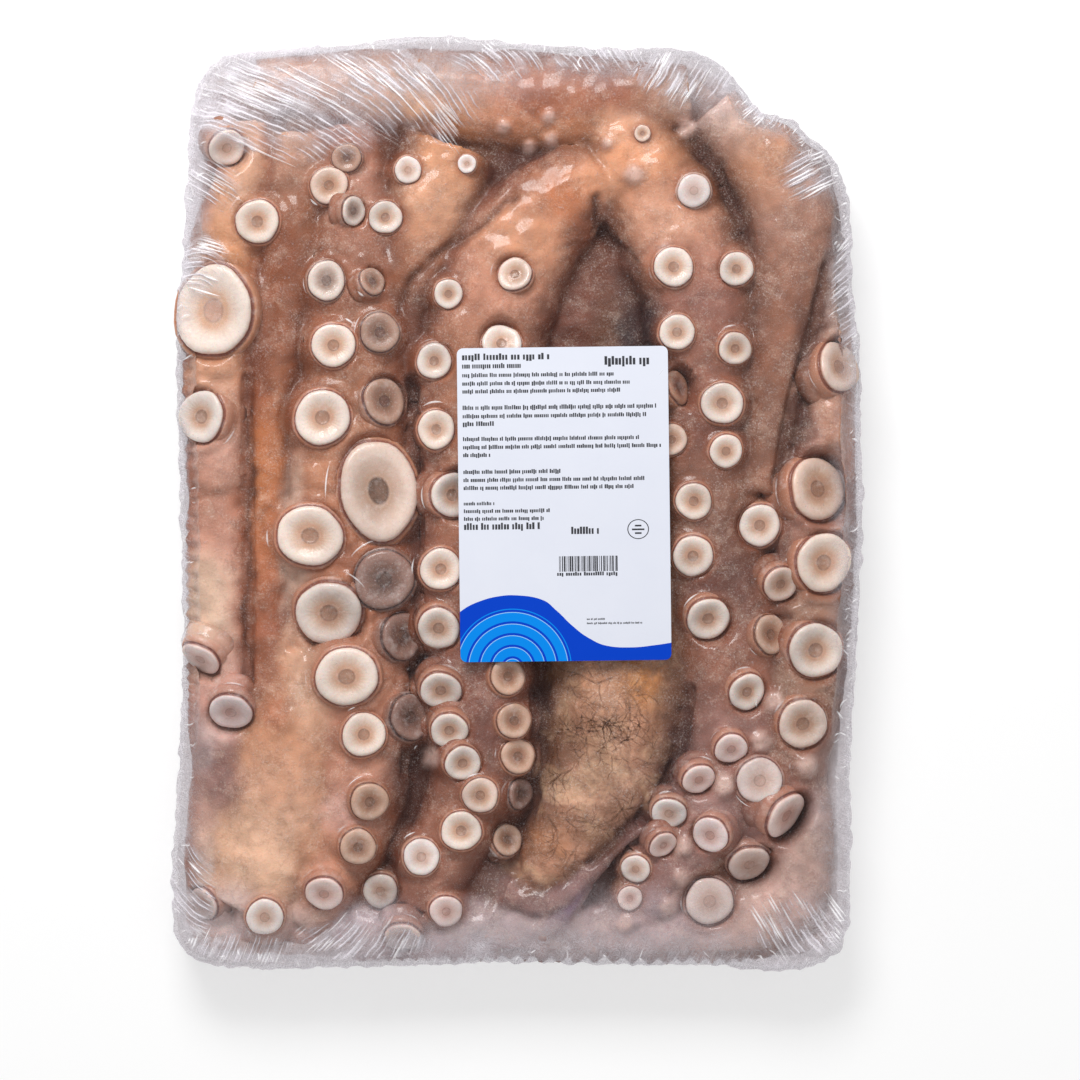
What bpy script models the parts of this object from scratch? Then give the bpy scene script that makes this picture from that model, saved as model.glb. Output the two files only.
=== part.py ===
"""A whole raw octopus, folded flat and frozen into a block, sealed in clear film with a paper label.

The wrapped block is one solid out to its film: a tray-shaped slab, the arms and the mantle that
show on top of it, and the low discs of the suckers, with the film drawn over them all.
"""

import math

import bmesh
import bpy
from mathutils import Matrix, Vector
from mathutils.bvhtree import BVHTree

MM = 0.001

# The slab: the block as the freezing tray shaped it.
PLAN_SHIFT_Y = -1.5 * MM  # the plan's zero line lies this far from the middle of the block
SLAB_TOP = 38 * MM
SLAB_EDGE_RADIUS = 16 * MM
SLAB_WIDEST = (12 * MM, 22 * MM)  # the sides stand upright between these heights

# What lies on the slab.
ARM_FLATNESS = 0.62  # an arm's height over its width, pressed under the film
ARM_SIDES = 8
SUCKER_RISE = 2.2 * MM
SUCKER_SEGMENTS = 16

# The film.
FILM_TOP = 54.6 * MM
FILM_PRESS = 3 * MM  # tops within this much of the film's level are pressed flatter
MESH_STEP = 4.2 * MM
FILM_SMOOTHING = 5
TRIANGLES = 8600

# The label.
LABEL_SIZE = (101.5 * MM, 151 * MM)
LABEL_CENTRE = (23.1 * MM, -2.0 * MM)
LABEL_TURN = math.radians(0.7)
LABEL_CORNER = 3 * MM
LABEL_THICKNESS = 0.4 * MM
LABEL_GAP = 0.35 * MM
LABEL_MARGIN = 2.5 * MM  # the film is flat this far past the label's edges
LABEL_EASE = 9 * MM  # and eases back to the arms over this distance

# The tray's outline, from the middle of the left side round by the top, in millimetres.
OUTLINE = (
    (-164, 0), (-166, 75), (-161, 150), (-158, 196), (-146, 215), (-118, 221),
    (-45, 228), (30, 225), (88, 220), (111, 202), (130, 187), (153, 171),
    (162, 148), (166, 90), (168, 45), (167, -10), (166, -68), (163, -130),
    (162, -200), (151, -222), (90, -225), (0, -224), (-110, -225), (-156, -220),
    (-168, -203), (-164, -120),
)

# Each arm's route: x, y, half its width and the height of its top, in millimetres.
ARMS = {
    "left_edge": (
        (-108, 192, 20, 43), (-130, 163, 25, 46), (-138, 125, 25, 49), (-143, 90, 22, 50),
        (-145, 45, 19, 48), (-144, -40, 18, 47), (-143, -105, 18, 45), (-144, -145, 16, 40),
    ),
    "left_web": (
        (-85, 190, 22, 43), (-108, 140, 17, 45), (-116, 80, 15, 46), (-121, 10, 11, 45),
        (-118, -60, 12, 45), (-112, -105, 25, 48), (-120, -150, 36, 50), (-132, -185, 26, 44),
    ),
    "left_main": (
        (-72, 172, 21, 44), (-79, 110, 25, 48), (-79, 55, 29, 51), (-82, -20, 33, 53),
        (-79, -75, 31, 53), (-75, -125, 26, 51), (-82, -165, 24, 48), (-98, -192, 20, 42),
    ),
    "upper_fold": (
        (-28, 172, 24, 43), (-38, 145, 27, 47), (-46, 115, 20, 46), (-50, 75, 9, 40),
    ),
    "middle": (
        (52, 168, 17, 44), (24, 146, 24, 48), (2, 116, 31, 52), (-12, 75, 32, 53),
        (-17, 0, 32, 53), (-18, -70, 29, 52), (-17, -125, 25, 50), (-30, -170, 22, 46),
        (-48, -196, 18, 40),
    ),
    "mantle": (
        (52, 60, 30, 48), (50, 0, 36, 51), (49, -70, 36, 51), (43, -115, 32, 50),
        (26, -150, 22, 47), (4, -182, 9, 40),
    ),
    "right_main": (
        (60, 162, 20, 47), (76, 128, 29, 51), (90, 80, 25, 52), (92, 20, 23, 52),
        (102, -35, 30, 52), (108, -85, 31, 51), (96, -135, 27, 48), (72, -180, 23, 43),
        (58, -208, 14, 36),
    ),
    "right_smooth": (
        (102, 186, 22, 43), (124, 158, 24, 48), (130, 115, 20, 50), (124, 60, 14, 50),
        (117, 15, 8, 46),
    ),
    "right_edge": (
        (150, 138, 9, 40), (152, 95, 12, 44), (148, 45, 16, 48), (145, -10, 20, 50),
        (144, -70, 20, 50), (137, -120, 20, 48), (134, -150, 17, 44),
    ),
    "right_foot": (
        (88, -208, 15, 37), (122, -198, 22, 43), (140, -176, 21, 44), (148, -140, 11, 40),
    ),
    "lower_web": (
        (-70, -207, 15, 36), (-10, -206, 17, 36), (50, -207, 16, 36),
    ),
    "upper_web": (
        (-120, 204, 13, 38), (-60, 202, 20, 42), (0, 198, 24, 43), (60, 192, 24, 45),
        (96, 196, 15, 40),
    ),
}

# Rows of suckers: the number in the row, then x, y and radius at stations along it, in millimetres.
SUCKER_ROWS = {
    "left_edge": (3, ((-138, 150, 10), (-143, 93, 17), (-147, 42, 12))),
    "left_outer": (
        10, ((-90, 154, 9), (-90, 90, 10), (-98, -5, 15), (-82, -84, 15), (-76, -165, 9)),
    ),
    "left_inner": (4, ((-64, 139, 7), (-65, 70, 9), (-63, -37, 14), (-51, -105, 9))),
    "left_foot": (3, ((-93, -188, 9), (-122, -199, 9), (-148, -196, 7))),
    "middle_outer": (
        12, ((-33, 100, 8), (-36, 0, 9.5), (-35, -90, 9), (-20, -140, 8), (-46, -171, 9)),
    ),
    "right_inner": (
        11, ((75, 115, 9), (84, 0, 8.5), (106, -95, 9), (74, -149, 8), (54, -195, 6)),
    ),
    "right_outer": (
        8, ((105, 114, 8), (99, 48, 9), (118, -11, 9), (120, -134, 10), (94, -193, 11)),
    ),
    "right_edge": (4, ((146, 7, 13), (145, -65, 13), (139, -105, 11))),
}
BIGGEST_SUCKER = (-66, 6, 20)


def clear_scene():
    for obj in list(bpy.data.objects):
        bpy.data.objects.remove(obj)


def plan(x, y, z=0.0):
    """A place given in millimetres on the plan, in metres from the middle of the block's underside."""
    return Vector((x * MM, y * MM + PLAN_SHIFT_Y, z * MM))


def mesh_of(curve):
    """The curve's surface as a mesh, with the curve itself removed."""
    obj = bpy.data.objects.new("guide", curve)
    bpy.context.collection.objects.link(obj)
    bpy.context.view_layer.update()
    graph = bpy.context.evaluated_depsgraph_get()
    mesh = bpy.data.meshes.new_from_object(obj.evaluated_get(graph))
    bpy.data.objects.remove(obj)
    return mesh


def smooth_spline(curve, places, radii, cyclic=False):
    """A Bezier spline through the places, with automatic handles and a radius at each."""
    spline = curve.splines.new("BEZIER")
    spline.bezier_points.add(len(places) - 1)
    spline.use_cyclic_u = cyclic
    for point, place, radius in zip(spline.bezier_points, places, radii):
        point.co = place
        point.radius = radius
        point.handle_left_type = point.handle_right_type = "AUTO"


def slab():
    """The tray-shaped block: the outline, raised, with rounded edges above and below."""
    curve = bpy.data.curves.new("slab", "CURVE")
    curve.dimensions = "2D"
    curve.fill_mode = "BOTH"
    curve.resolution_u = 6
    curve.extrude = (SLAB_WIDEST[1] - SLAB_WIDEST[0]) / 2
    curve.bevel_depth = SLAB_EDGE_RADIUS
    curve.bevel_resolution = 4
    curve.offset = -SLAB_EDGE_RADIUS
    smooth_spline(curve, [plan(x, y) for x, y in OUTLINE], [1.0] * len(OUTLINE), cyclic=True)
    mesh = mesh_of(curve)
    mesh.transform(Matrix.Translation((0, 0, sum(SLAB_WIDEST) / 2)))
    return mesh


def arm(route):
    """A tapering arm along its route, wider than it is high, with its top at the route's heights."""
    curve = bpy.data.curves.new("arm", "CURVE")
    curve.dimensions = "3D"
    curve.resolution_u = 5
    curve.bevel_depth = 1.0
    curve.bevel_resolution = ARM_SIDES
    curve.use_fill_caps = True
    places = [plan(x, y, top / ARM_FLATNESS - half_width) for x, y, half_width, top in route]
    smooth_spline(curve, places, [half_width * MM for _, _, half_width, _ in route])
    mesh = mesh_of(curve)
    mesh.transform(Matrix.Diagonal((1, 1, ARM_FLATNESS, 1)))
    return mesh


def along(stations, share):
    """The station at this share of the row, between two given ones on a straight line."""
    place = share * (len(stations) - 1)
    first = min(int(place), len(stations) - 2)
    t = place - first
    return [a + (b - a) * t for a, b in zip(stations[first], stations[first + 1])]


def all_suckers():
    suckers = [BIGGEST_SUCKER]
    for count, stations in SUCKER_ROWS.values():
        suckers += [along(stations, i / (count - 1)) for i in range(count)]
    return suckers


def add_suckers(body):
    """A low disc for each sucker, standing a little proud of the arm that it grows on."""
    surface = BVHTree.FromBMesh(body)
    for x, y, radius in all_suckers():
        hit = surface.ray_cast(plan(x, y, 100), Vector((0, 0, -1)))[0]
        middle = hit.z + SUCKER_RISE - radius * MM / 2
        bmesh.ops.create_cone(
            body,
            cap_ends=True,
            segments=SUCKER_SEGMENTS,
            radius1=radius * MM,
            radius2=radius * MM,
            depth=radius * MM,
            matrix=Matrix.Translation(plan(x, y, middle / MM)),
        )


def drawn_over(body):
    """The body's mesh as one skin, smoothed as the film draws it."""
    mesh = bpy.data.meshes.new("wrapped_block")
    body.to_mesh(mesh)
    obj = bpy.data.objects.new("wrapped_block", mesh)
    bpy.context.collection.objects.link(obj)
    remesh = obj.modifiers.new("skin", "REMESH")
    remesh.mode = "VOXEL"
    remesh.voxel_size = MESH_STEP
    smooth = obj.modifiers.new("film", "SMOOTH")
    smooth.factor = 0.5
    smooth.iterations = FILM_SMOOTHING
    bpy.context.view_layer.update()
    graph = bpy.context.evaluated_depsgraph_get()
    drawn = bpy.data.meshes.new_from_object(obj.evaluated_get(graph))
    obj.modifiers.clear()
    obj.data = drawn
    return obj


def pressed(height):
    """A height as the film's level leaves it: tops that come near the level are pressed flatter."""
    start = FILM_TOP - FILM_PRESS
    if height <= start:
        return height
    return start + FILM_PRESS * math.tanh((height - start) / FILM_PRESS)


def label_share(x, y):
    """1 where the label keeps the film flat, easing to 0 away from it."""
    dx = abs(x - LABEL_CENTRE[0]) - LABEL_SIZE[0] / 2 - LABEL_MARGIN
    dy = abs(y - LABEL_CENTRE[1]) - LABEL_SIZE[1] / 2 - LABEL_MARGIN
    away = math.hypot(max(dx, 0), max(dy, 0)) / LABEL_EASE
    share = max(0.0, 1 - away)
    return share * share * (3 - 2 * share)


def press_under_film(body):
    """Tops pressed by the film, and the level place that the label keeps."""
    for vert in body.verts:
        vert.co.z = pressed(vert.co.z)
        if vert.normal.z > 0.3 and vert.co.z > SLAB_TOP / 2:
            vert.co.z += (FILM_TOP - vert.co.z) * label_share(vert.co.x, vert.co.y)


def cut_flat(body):
    """The underside, cut level where the block lay on its tray."""
    everything = body.verts[:] + body.edges[:] + body.faces[:]
    cut = bmesh.ops.bisect_plane(
        body, geom=everything, plane_co=(0, 0, 0), plane_no=(0, 0, 1), clear_inner=True
    )["geom_cut"]
    rim = [edge for edge in cut if isinstance(edge, bmesh.types.BMEdge)]
    bmesh.ops.holes_fill(body, edges=rim, sides=0)


def fit_to_outline(body):
    """Stretched by a hair, so that the solid is as long and as wide as its outline."""
    half = [max(abs(p[i]) for p in (plan(x, y) for x, y in OUTLINE)) for i in (0, 1)]
    for axis in (0, 1):
        low = min(vert.co[axis] for vert in body.verts)
        high = max(vert.co[axis] for vert in body.verts)
        for vert in body.verts:
            vert.co[axis] = half[axis] * (2 * (vert.co[axis] - low) / (high - low) - 1)


def wrapped_block():
    body = bmesh.new()
    body.from_mesh(slab())
    for route in ARMS.values():
        body.from_mesh(arm(route))
    add_suckers(body)
    obj = drawn_over(body)
    body.free()

    body = bmesh.new()
    body.from_mesh(obj.data)
    body.normal_update()
    press_under_film(body)
    cut_flat(body)
    fit_to_outline(body)
    bmesh.ops.triangulate(body, faces=body.faces[:])
    faces = len(body.faces)
    body.to_mesh(obj.data)
    body.free()

    fewer = obj.modifiers.new("fewer faces", "DECIMATE")
    fewer.ratio = TRIANGLES / faces
    obj.data.shade_smooth()
    return obj


def label():
    """The paper label: a thin sheet with rounded corners, level on the film."""
    width, length = LABEL_SIZE
    body = bmesh.new()
    bmesh.ops.create_grid(
        body, x_segments=1, y_segments=1, size=0.5, matrix=Matrix.Diagonal((width, length, 1, 1))
    )
    bmesh.ops.bevel(
        body,
        geom=body.verts[:],
        offset=LABEL_CORNER,
        segments=5,
        profile=0.5,
        affect="VERTICES",
    )
    raised = bmesh.ops.extrude_face_region(body, geom=body.faces[:])["geom"]
    top = [item for item in raised if isinstance(item, bmesh.types.BMVert)]
    bmesh.ops.translate(body, vec=(0, 0, LABEL_THICKNESS), verts=top)
    bmesh.ops.recalc_face_normals(body, faces=body.faces[:])
    mesh = bpy.data.meshes.new("label")
    body.to_mesh(mesh)
    body.free()
    obj = bpy.data.objects.new("label", mesh)
    obj.location = (*LABEL_CENTRE, FILM_TOP + LABEL_GAP)
    obj.rotation_euler.z = LABEL_TURN
    bpy.context.collection.objects.link(obj)
    return obj


def paint(obj, colour, roughness):
    material = bpy.data.materials.new(obj.name)
    material.use_nodes = True
    shader = material.node_tree.nodes["Principled BSDF"]
    shader.inputs["Base Color"].default_value = (*colour, 1)
    shader.inputs["Roughness"].default_value = roughness
    shader.inputs["Metallic"].default_value = 0.0
    obj.data.materials.append(material)


clear_scene()
paint(wrapped_block(), (0.46, 0.25, 0.16), 0.3)
paint(label(), (0.85, 0.87, 0.93), 0.5)
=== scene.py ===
"""A whole octopus frozen into a block: the flesh, its suckers, the ice, the clear film and the label.

Everything is in metres. Places on the block are given in millimetres on its plan, X to the right as
the label is read and Y towards the end with the cut corner.
"""

import math
import random
from collections import namedtuple

import bmesh
import bpy
import numpy as np
from bpy.props import FloatProperty, FloatVectorProperty, IntProperty, PointerProperty
from mathutils import Matrix, Vector
from mathutils.bvhtree import BVHTree
from mathutils.kdtree import KDTree


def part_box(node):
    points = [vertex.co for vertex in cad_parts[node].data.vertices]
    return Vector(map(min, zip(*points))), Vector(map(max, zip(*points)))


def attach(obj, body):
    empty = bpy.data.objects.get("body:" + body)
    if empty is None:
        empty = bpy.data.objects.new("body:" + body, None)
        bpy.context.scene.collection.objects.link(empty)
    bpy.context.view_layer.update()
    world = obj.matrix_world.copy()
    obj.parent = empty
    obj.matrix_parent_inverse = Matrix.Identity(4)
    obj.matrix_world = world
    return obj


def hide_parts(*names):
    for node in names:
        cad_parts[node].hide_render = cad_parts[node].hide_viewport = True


bl_info = {
    "name": "Frozen octopus block",
    "version": (1, 0, 0),
    "blender": (4, 5, 0),
    "location": "3D View > Sidebar > Octopus",
    "description": "A whole octopus frozen flat, wrapped in clear film and labelled",
    "category": "Add Mesh",
}

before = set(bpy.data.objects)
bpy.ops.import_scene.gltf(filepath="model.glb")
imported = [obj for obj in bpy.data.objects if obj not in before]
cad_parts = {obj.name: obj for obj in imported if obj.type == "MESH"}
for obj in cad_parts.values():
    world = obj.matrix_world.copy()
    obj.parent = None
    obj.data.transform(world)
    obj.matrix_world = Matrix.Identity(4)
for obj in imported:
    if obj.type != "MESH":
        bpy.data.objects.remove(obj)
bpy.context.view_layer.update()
BLOCK_LOW, BLOCK_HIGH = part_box("wrapped_block")
LABEL_LOW, LABEL_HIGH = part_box("label")

MM = 0.001
DOWN = Vector((0, 0, -1))
PLAN_SHIFT_Y = -1.5  # the plan's zero line lies this far from the middle of the block

# The tray's outline, from the middle of the left side round by the top.
OUTLINE = (
    (-164, 0), (-166, 75), (-163, 120), (-160, 165), (-157, 198), (-146, 216), (-118, 221),
    (-79, 224), (-45, 228), (0, 224.5), (45, 222), (88, 220), (101, 213), (111, 202), (118, 192.5),
    (134, 187), (144, 178), (153, 171), (160, 157), (163, 140), (164, 109), (168, 68),
    (168, 30), (169, -5), (167, -55), (165, -90), (163, -125), (163, -185), (161, -210),
    (151, -223), (90, -225), (0, -224), (-70, -226), (-138, -226), (-158, -222), (-167, -210),
    (-168, -195), (-165, -130), (-163, -75),
)

# Each arm's route: x, y, half its width and the height of its top.
ARMS = {
    "left edge": (
        (-130, 184, 13, 42), (-134, 155, 14, 46), (-143, 119, 19, 48), (-146, 83, 18, 49),
        (-147, 40, 17, 48.5), (-146, 12, 16, 47), (-146, 1, 14, 45.5), (-146, -12, 16, 46.5),
        (-145, -75, 17, 46), (-143, -109, 17, 45.5), (-143, -128, 16, 43), (-147, -155, 14, 41),
        (-149, -188, 13, 39),
    ),
    "orange band": (
        (-104, 178, 18, 43), (-111, 120, 17, 45), (-118, 70, 13, 45.5), (-121, 10, 10.5, 44.5),
        (-120, -60, 11, 44.5), (-116, -100, 14, 46),
    ),
    "pale web": (
        (-104, -70, 16, 46), (-108, -105, 26, 49), (-115, -145, 34, 50), (-124, -178, 28, 47),
        (-136, -199, 22, 44.5),
    ),
    "left arm": (
        (-86, 182, 18, 41), (-80, 140, 23, 45), (-78, 100, 26, 48), (-79, 60, 28, 49.5),
        (-83, 15, 31, 50.5), (-84, -25, 32, 50.5), (-80, -71, 31, 50), (-75, -114, 27, 49),
        (-80, -150, 25, 47.5), (-94, -180, 22, 44), (-106, -203, 14, 38),
    ),
    "shoulder": (
        (-33, 172, 24, 45.5), (-42, 146, 24, 47.5), (-50, 120, 18, 46), (-56, 88, 12, 43),
        (-56, 50, 8, 39),
    ),
    "middle arm": (
        (42, 160, 18, 45), (22, 147, 25, 49), (2, 126, 30, 51), (-10, 100, 31, 51.5),
        (-17, 70, 31, 51.5), (-20, 25, 29, 51.5), (-20, -23, 28, 51), (-19, -71, 27, 50),
        (-18, -114, 25, 49), (-25, -148, 22, 47), (-38, -172, 19, 45), (-46, -197, 15, 41),
    ),
    "mantle": (
        (52, -20, 36, 48), (50, -90, 37.5, 50), (46, -120, 34, 49.5), (38, -142, 30, 48.5),
        (27, -160, 22, 47), (14, -175, 13, 44), (7, -184, 6, 41),
    ),
    "right arm": (
        (50, 184, 20, 44), (64, 158, 27, 48), (79, 126, 31, 50.5), (88, 100, 29, 51),
        (90, 70, 27, 50.5), (91, 35, 25, 50.5), (93, 1, 26, 50.5), (99, -37, 28, 50.5),
        (106, -75, 30, 50), (104, -114, 30, 49), (90, -150, 26, 47), (71, -180, 21, 44),
        (55, -202, 14, 39),
    ),
    "smooth arm": (
        (100, 194, 22, 43), (124, 166, 26, 47.5), (134, 135, 24, 49.5), (132, 100, 20, 50),
        (127, 70, 16, 49.5), (122, 35, 13, 48.5), (118, 5, 9, 46),
    ),
    "right edge": (
        (158, 128, 7, 40), (159, 95, 12, 44), (157, 65, 15, 46), (154, 35, 17, 48),
        (148, 1, 20, 49), (146, -32, 21, 50), (142, -71, 21, 50), (137, -104, 20, 49),
        (132, -138, 19, 46), (124, -166, 16, 43),
    ),
    "right foot": (
        (94, -212, 15, 38), (118, -203, 19, 42.5), (132, -190, 21, 44), (140, -164, 15, 44),
        (141, -138, 12, 43),
    ),
    "first fold": (
        (-4, -188, 8, 39), (15, -194, 6, 41.5), (31, -184, 4.5, 42.5), (46, -169, 4.5, 43.5),
        (61, -155, 4, 44.5),
    ),
    "second fold": (
        (-8, -211, 8, 37), (13, -208, 7, 39), (26, -195, 5, 40.5), (35, -184, 4, 41),
    ),
    "lower web": ((-80, -209, 15, 38), (-10, -208, 20, 38), (50, -209, 17, 38), (96, -209, 16, 38)),
    "upper web": (
        (-128, 205, 13, 38.5), (-90, 203, 18, 41), (-45, 200, 22, 43.5), (0, 196, 25, 44.5),
        (45, 196, 22, 44.5), (85, 200, 15, 42),
    ),
}

# Each arm's colour: first the darker colour of its flanks, painted shade down the sides, then its crown's along
# its length, lighter as painted light on the top and with the skin's own tones along it.
ARM_COLOURS = {
    "left edge": ("#8f5842", "#cfa893", "#d0a288", "#c58a66", "#c9977b", "#c99c8c", "#b07f6c",
                  "#c08d7a", "#c99a8a", "#bd9288", "#a97f72", "#c9a294",
                  "#dcc3b6"),
    "orange band": ("#6e4231", "#c39a86", "#8b5843", "#8e5a43", "#b87855", "#9b624d", "#ad765d"),
    "pale web": ("#b08067", "#cc9f87", "#b98468", "#d3a58c", "#e2b79d", "#cfaca2"),
    "left arm": ("#875541", "#b88a7a", "#a87967", "#91604c", "#9c6b54", "#bb876d", "#ab755c",
                 "#b5816a", "#b98570", "#bd8c79", "#c9947d", "#a4776b"),
    "shoulder": ("#6b4131", "#c28a69", "#d5a286", "#97644d", "#6c402e", "#774e3d"),
    "middle arm": ("#6f4437", "#dca78a", "#b6795b", "#c89278", "#b98570", "#a5735c", "#9c6b56",
                   "#966652", "#805549", "#734b41", "#946654", "#a37362", "#83584c"),
    "mantle": ("#5c3d35", "#b58366", "#c59478", "#bd8e78", "#c39680", "#b5866f", "#cc9b83", "#a37d72"),
    "right arm": ("#67412f", "#e0b097", "#bd876b", "#c4907b", "#93665a", "#8f6253", "#754a3d",
                  "#87604f", "#6d483f", "#906252", "#98726a", "#9a7870", "#92706b", "#9f807b"),
    "smooth arm": ("#64443a", "#c8aca3", "#b8876d", "#a37b6b", "#8b5f4d", "#8a5e4c", "#825b4b",
                   "#7d5443"),
    "right edge": ("#65443c", "#a39593", "#a08981", "#d2a38d", "#b0877a", "#9d7466", "#92705f",
                   "#92705f", "#8f685d", "#866156"),
    "right foot": ("#92766e", "#b79c96", "#c9a9a0", "#c7a69d", "#b4978d", "#9a8888"),
    "first fold": ("#6a504d", "#8f6c66", "#8b6b66", "#866663", "#694841", "#644541"),
    "second fold": ("#866d6b", "#a48f8f", "#a99492", "#81677a", "#6b514e"),
    "lower web": ("#957f7f", "#d0bbc0", "#a48e8b", "#bda5a4"),
    "upper web": ("#7d4d38", "#c39b87", "#cba08b", "#cba188", "#b67b63", "#956049", "#b48f7b"),
}
WARMTH = 1.16  # how much further from grey the skin is than its palette, under the film's haze
# Painted shade in the crevices between the arms, deep under the film.
CREVICE_SHADE = "#3c211a"
ROOT_SHADE = "#8a543f"

# Stains and pale places on the skin, and dark patches of painted shade in the valleys and creases between arms:
# x, y, the two radii, the colour and how much of it.
SKIN_STAINS_AND_SHADE = (
    (-149, 108, 15, 22, "#bd8259", 0.5), (-149, -52, 14, 32, "#dac0aa", 0.7),
    (-143, -134, 12, 20, "#8a6964", 0.75), (-152, -118, 7, 16, "#b7a6a6", 0.6),
    (-124, 60, 9, 30, "#764230", 0.65), (-106, 130, 18, 34, "#84523b", 0.7),
    (-121, 25, 7, 24, "#c07a54", 0.5), (-121, -62, 8, 30, "#87523b", 0.45),
    (-107, -20, 8, 44, "#dcbfae", 0.75), (-98, -88, 12, 26, "#d9b49d", 0.6),
    (-128, -168, 22, 24, "#e3bba1", 0.6), (-103, -196, 20, 12, "#d2a895", 0.5),
    (-96, -171, 14, 13, "#ac6d47", 0.35), (-56, -134, 12, 20, "#4a2e28", 0.85),
    (-54, -30, 6, 60, "#432823", 0.6), (-60, 134, 9, 22, "#6b4439", 0.6),
    (-84, 182, 22, 10, "#88503f", 0.45), (-42, 96, 12, 16, "#623d30", 0.6),
    (-26, 92, 10, 12, "#b07a64", 0.4), (9, 196, 15, 9, "#8b523c", 0.75),
    (42, 199, 13, 8, "#935a46", 0.7), (25, 180, 36, 9, "#cd9170", 0.5),
    (3, 128, 20, 14, "#d99f80", 0.5), (38, 126, 16, 22, "#764838", 0.75),
    (61, 82, 12, 24, "#33272a", 0.92), (52, 110, 9, 18, "#63423a", 0.75),
    (60, 168, 24, 12, "#dc9e7c", 0.6), (72, 138, 20, 16, "#d8a58c", 0.5),
    (112, 189, 15, 9, "#d3b8ac", 0.5), (61, -86, 12, 13, "#d08a4c", 0.7), (20, -96, 9, 44, "#6d4c3c", 0.55),
    (42, -124, 13, 18, "#d3ad91", 0.7), (-140, -198, 22, 16, "#d9bfb8", 0.6), (14, -168, 12, 14, "#c08561", 0.6),
    (77, -122, 9, 34, "#472f32", 0.85), (14, -112, 7, 38, "#513730", 0.7),
    (90, -100, 8, 20, "#75544c", 0.5), (70, -166, 14, 18, "#85625c", 0.5),
    (100, -150, 34, 26, "#a98580", 0.45), (60, -200, 26, 14, "#b0979a", 0.6),
    (-6, -180, 16, 16, "#684944", 0.6), (-10, -208, 40, 12, "#ab9b9d", 0.5),
    (-72, -212, 20, 9, "#c8b1ae", 0.6), (150, -120, 10, 24, "#94766d", 0.5),
    (157, 34, 9, 18, "#a97355", 0.5), (138, 62, 5, 50, "#55372f", 0.65),
    (-128, -203, 30, 12, "#e6cfcb", 0.75), (-144, -109, 10, 10, "#d6b8b0", 0.6),
    (-145, -75, 10, 12, "#dcb0a2", 0.5), (-146, -5, 12, 11, "#a07260", 0.5),
    (-84, -150, 12, 13, "#cfa69c", 0.6), (-94, -180, 12, 11, "#dda892", 0.5),
    (-84, -25, 9, 9, "#875441", 0.6), (-56, 70, 9, 32, "#6b3c2c", 0.6),
    (22, 147, 10, 10, "#ad6a48", 0.5), (12, -176, 12, 9, "#d09e88", 0.6),
    (99, -37, 8, 12, "#4f2c24", 0.6), (118, 6, 8, 12, "#9c6c58", 0.5),
    (157, 66, 8, 12, "#dcae98", 0.6), (142, -71, 8, 8, "#ccb0a4", 0.5),
    (137, -104, 9, 9, "#ccaea4", 0.5), (124, -166, 8, 8, "#a17a70", 0.5),
    (-111, 120, 8, 16, "#80472f", 0.5), (-116, -100, 8, 9, "#a86c54", 0.5),
    (-4, -188, 8, 7, "#a9857e", 0.5), (61, -155, 9, 8, "#5f3f3b", 0.5),
    (50, -209, 26, 9, "#cbb2b0", 0.5),
    (104, -6, 12, 60, "#6b463a", 0.45), (78, -40, 8, 50, "#7a5243", 0.5),
)

SHADE_LINES = (
    # Creases between arms, carved into the skin and painted dark as shade: their route and half-width.
    ((-130, 60), (-129.5, 20), (-129, -20), (-129.5, -70), (-131, -100), 1.7),
    ((-160, 3), (-145, 4), (-133, 6), 0.7),
    ((151, 118), (145, 94), (137, 63), (130, 34), (126, 10), 2.0),
    ((-1, 149), (-17, 134), (-34, 123), (-51, 107), (-57, 92), 1.8),
    ((39, 148), (42, 132), (50, 123), (60, 112), 2.0),
    ((-50, 60), (-49, 10), (-48, -40), (-48, -90), (-52, -130), 3.0),
    ((84, -90), (79, -118), (70, -140), (54, -158), (36, -174), 2.4),
    ((9, -90), (8, -120), (4, -150), (-4, -172), 2.4),
)

Sucker = namedtuple(
    "Sucker", "x y width lean toward tone oval turn", defaults=(0, -90, "white", 1.0, 0)
)
S = Sucker

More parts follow.
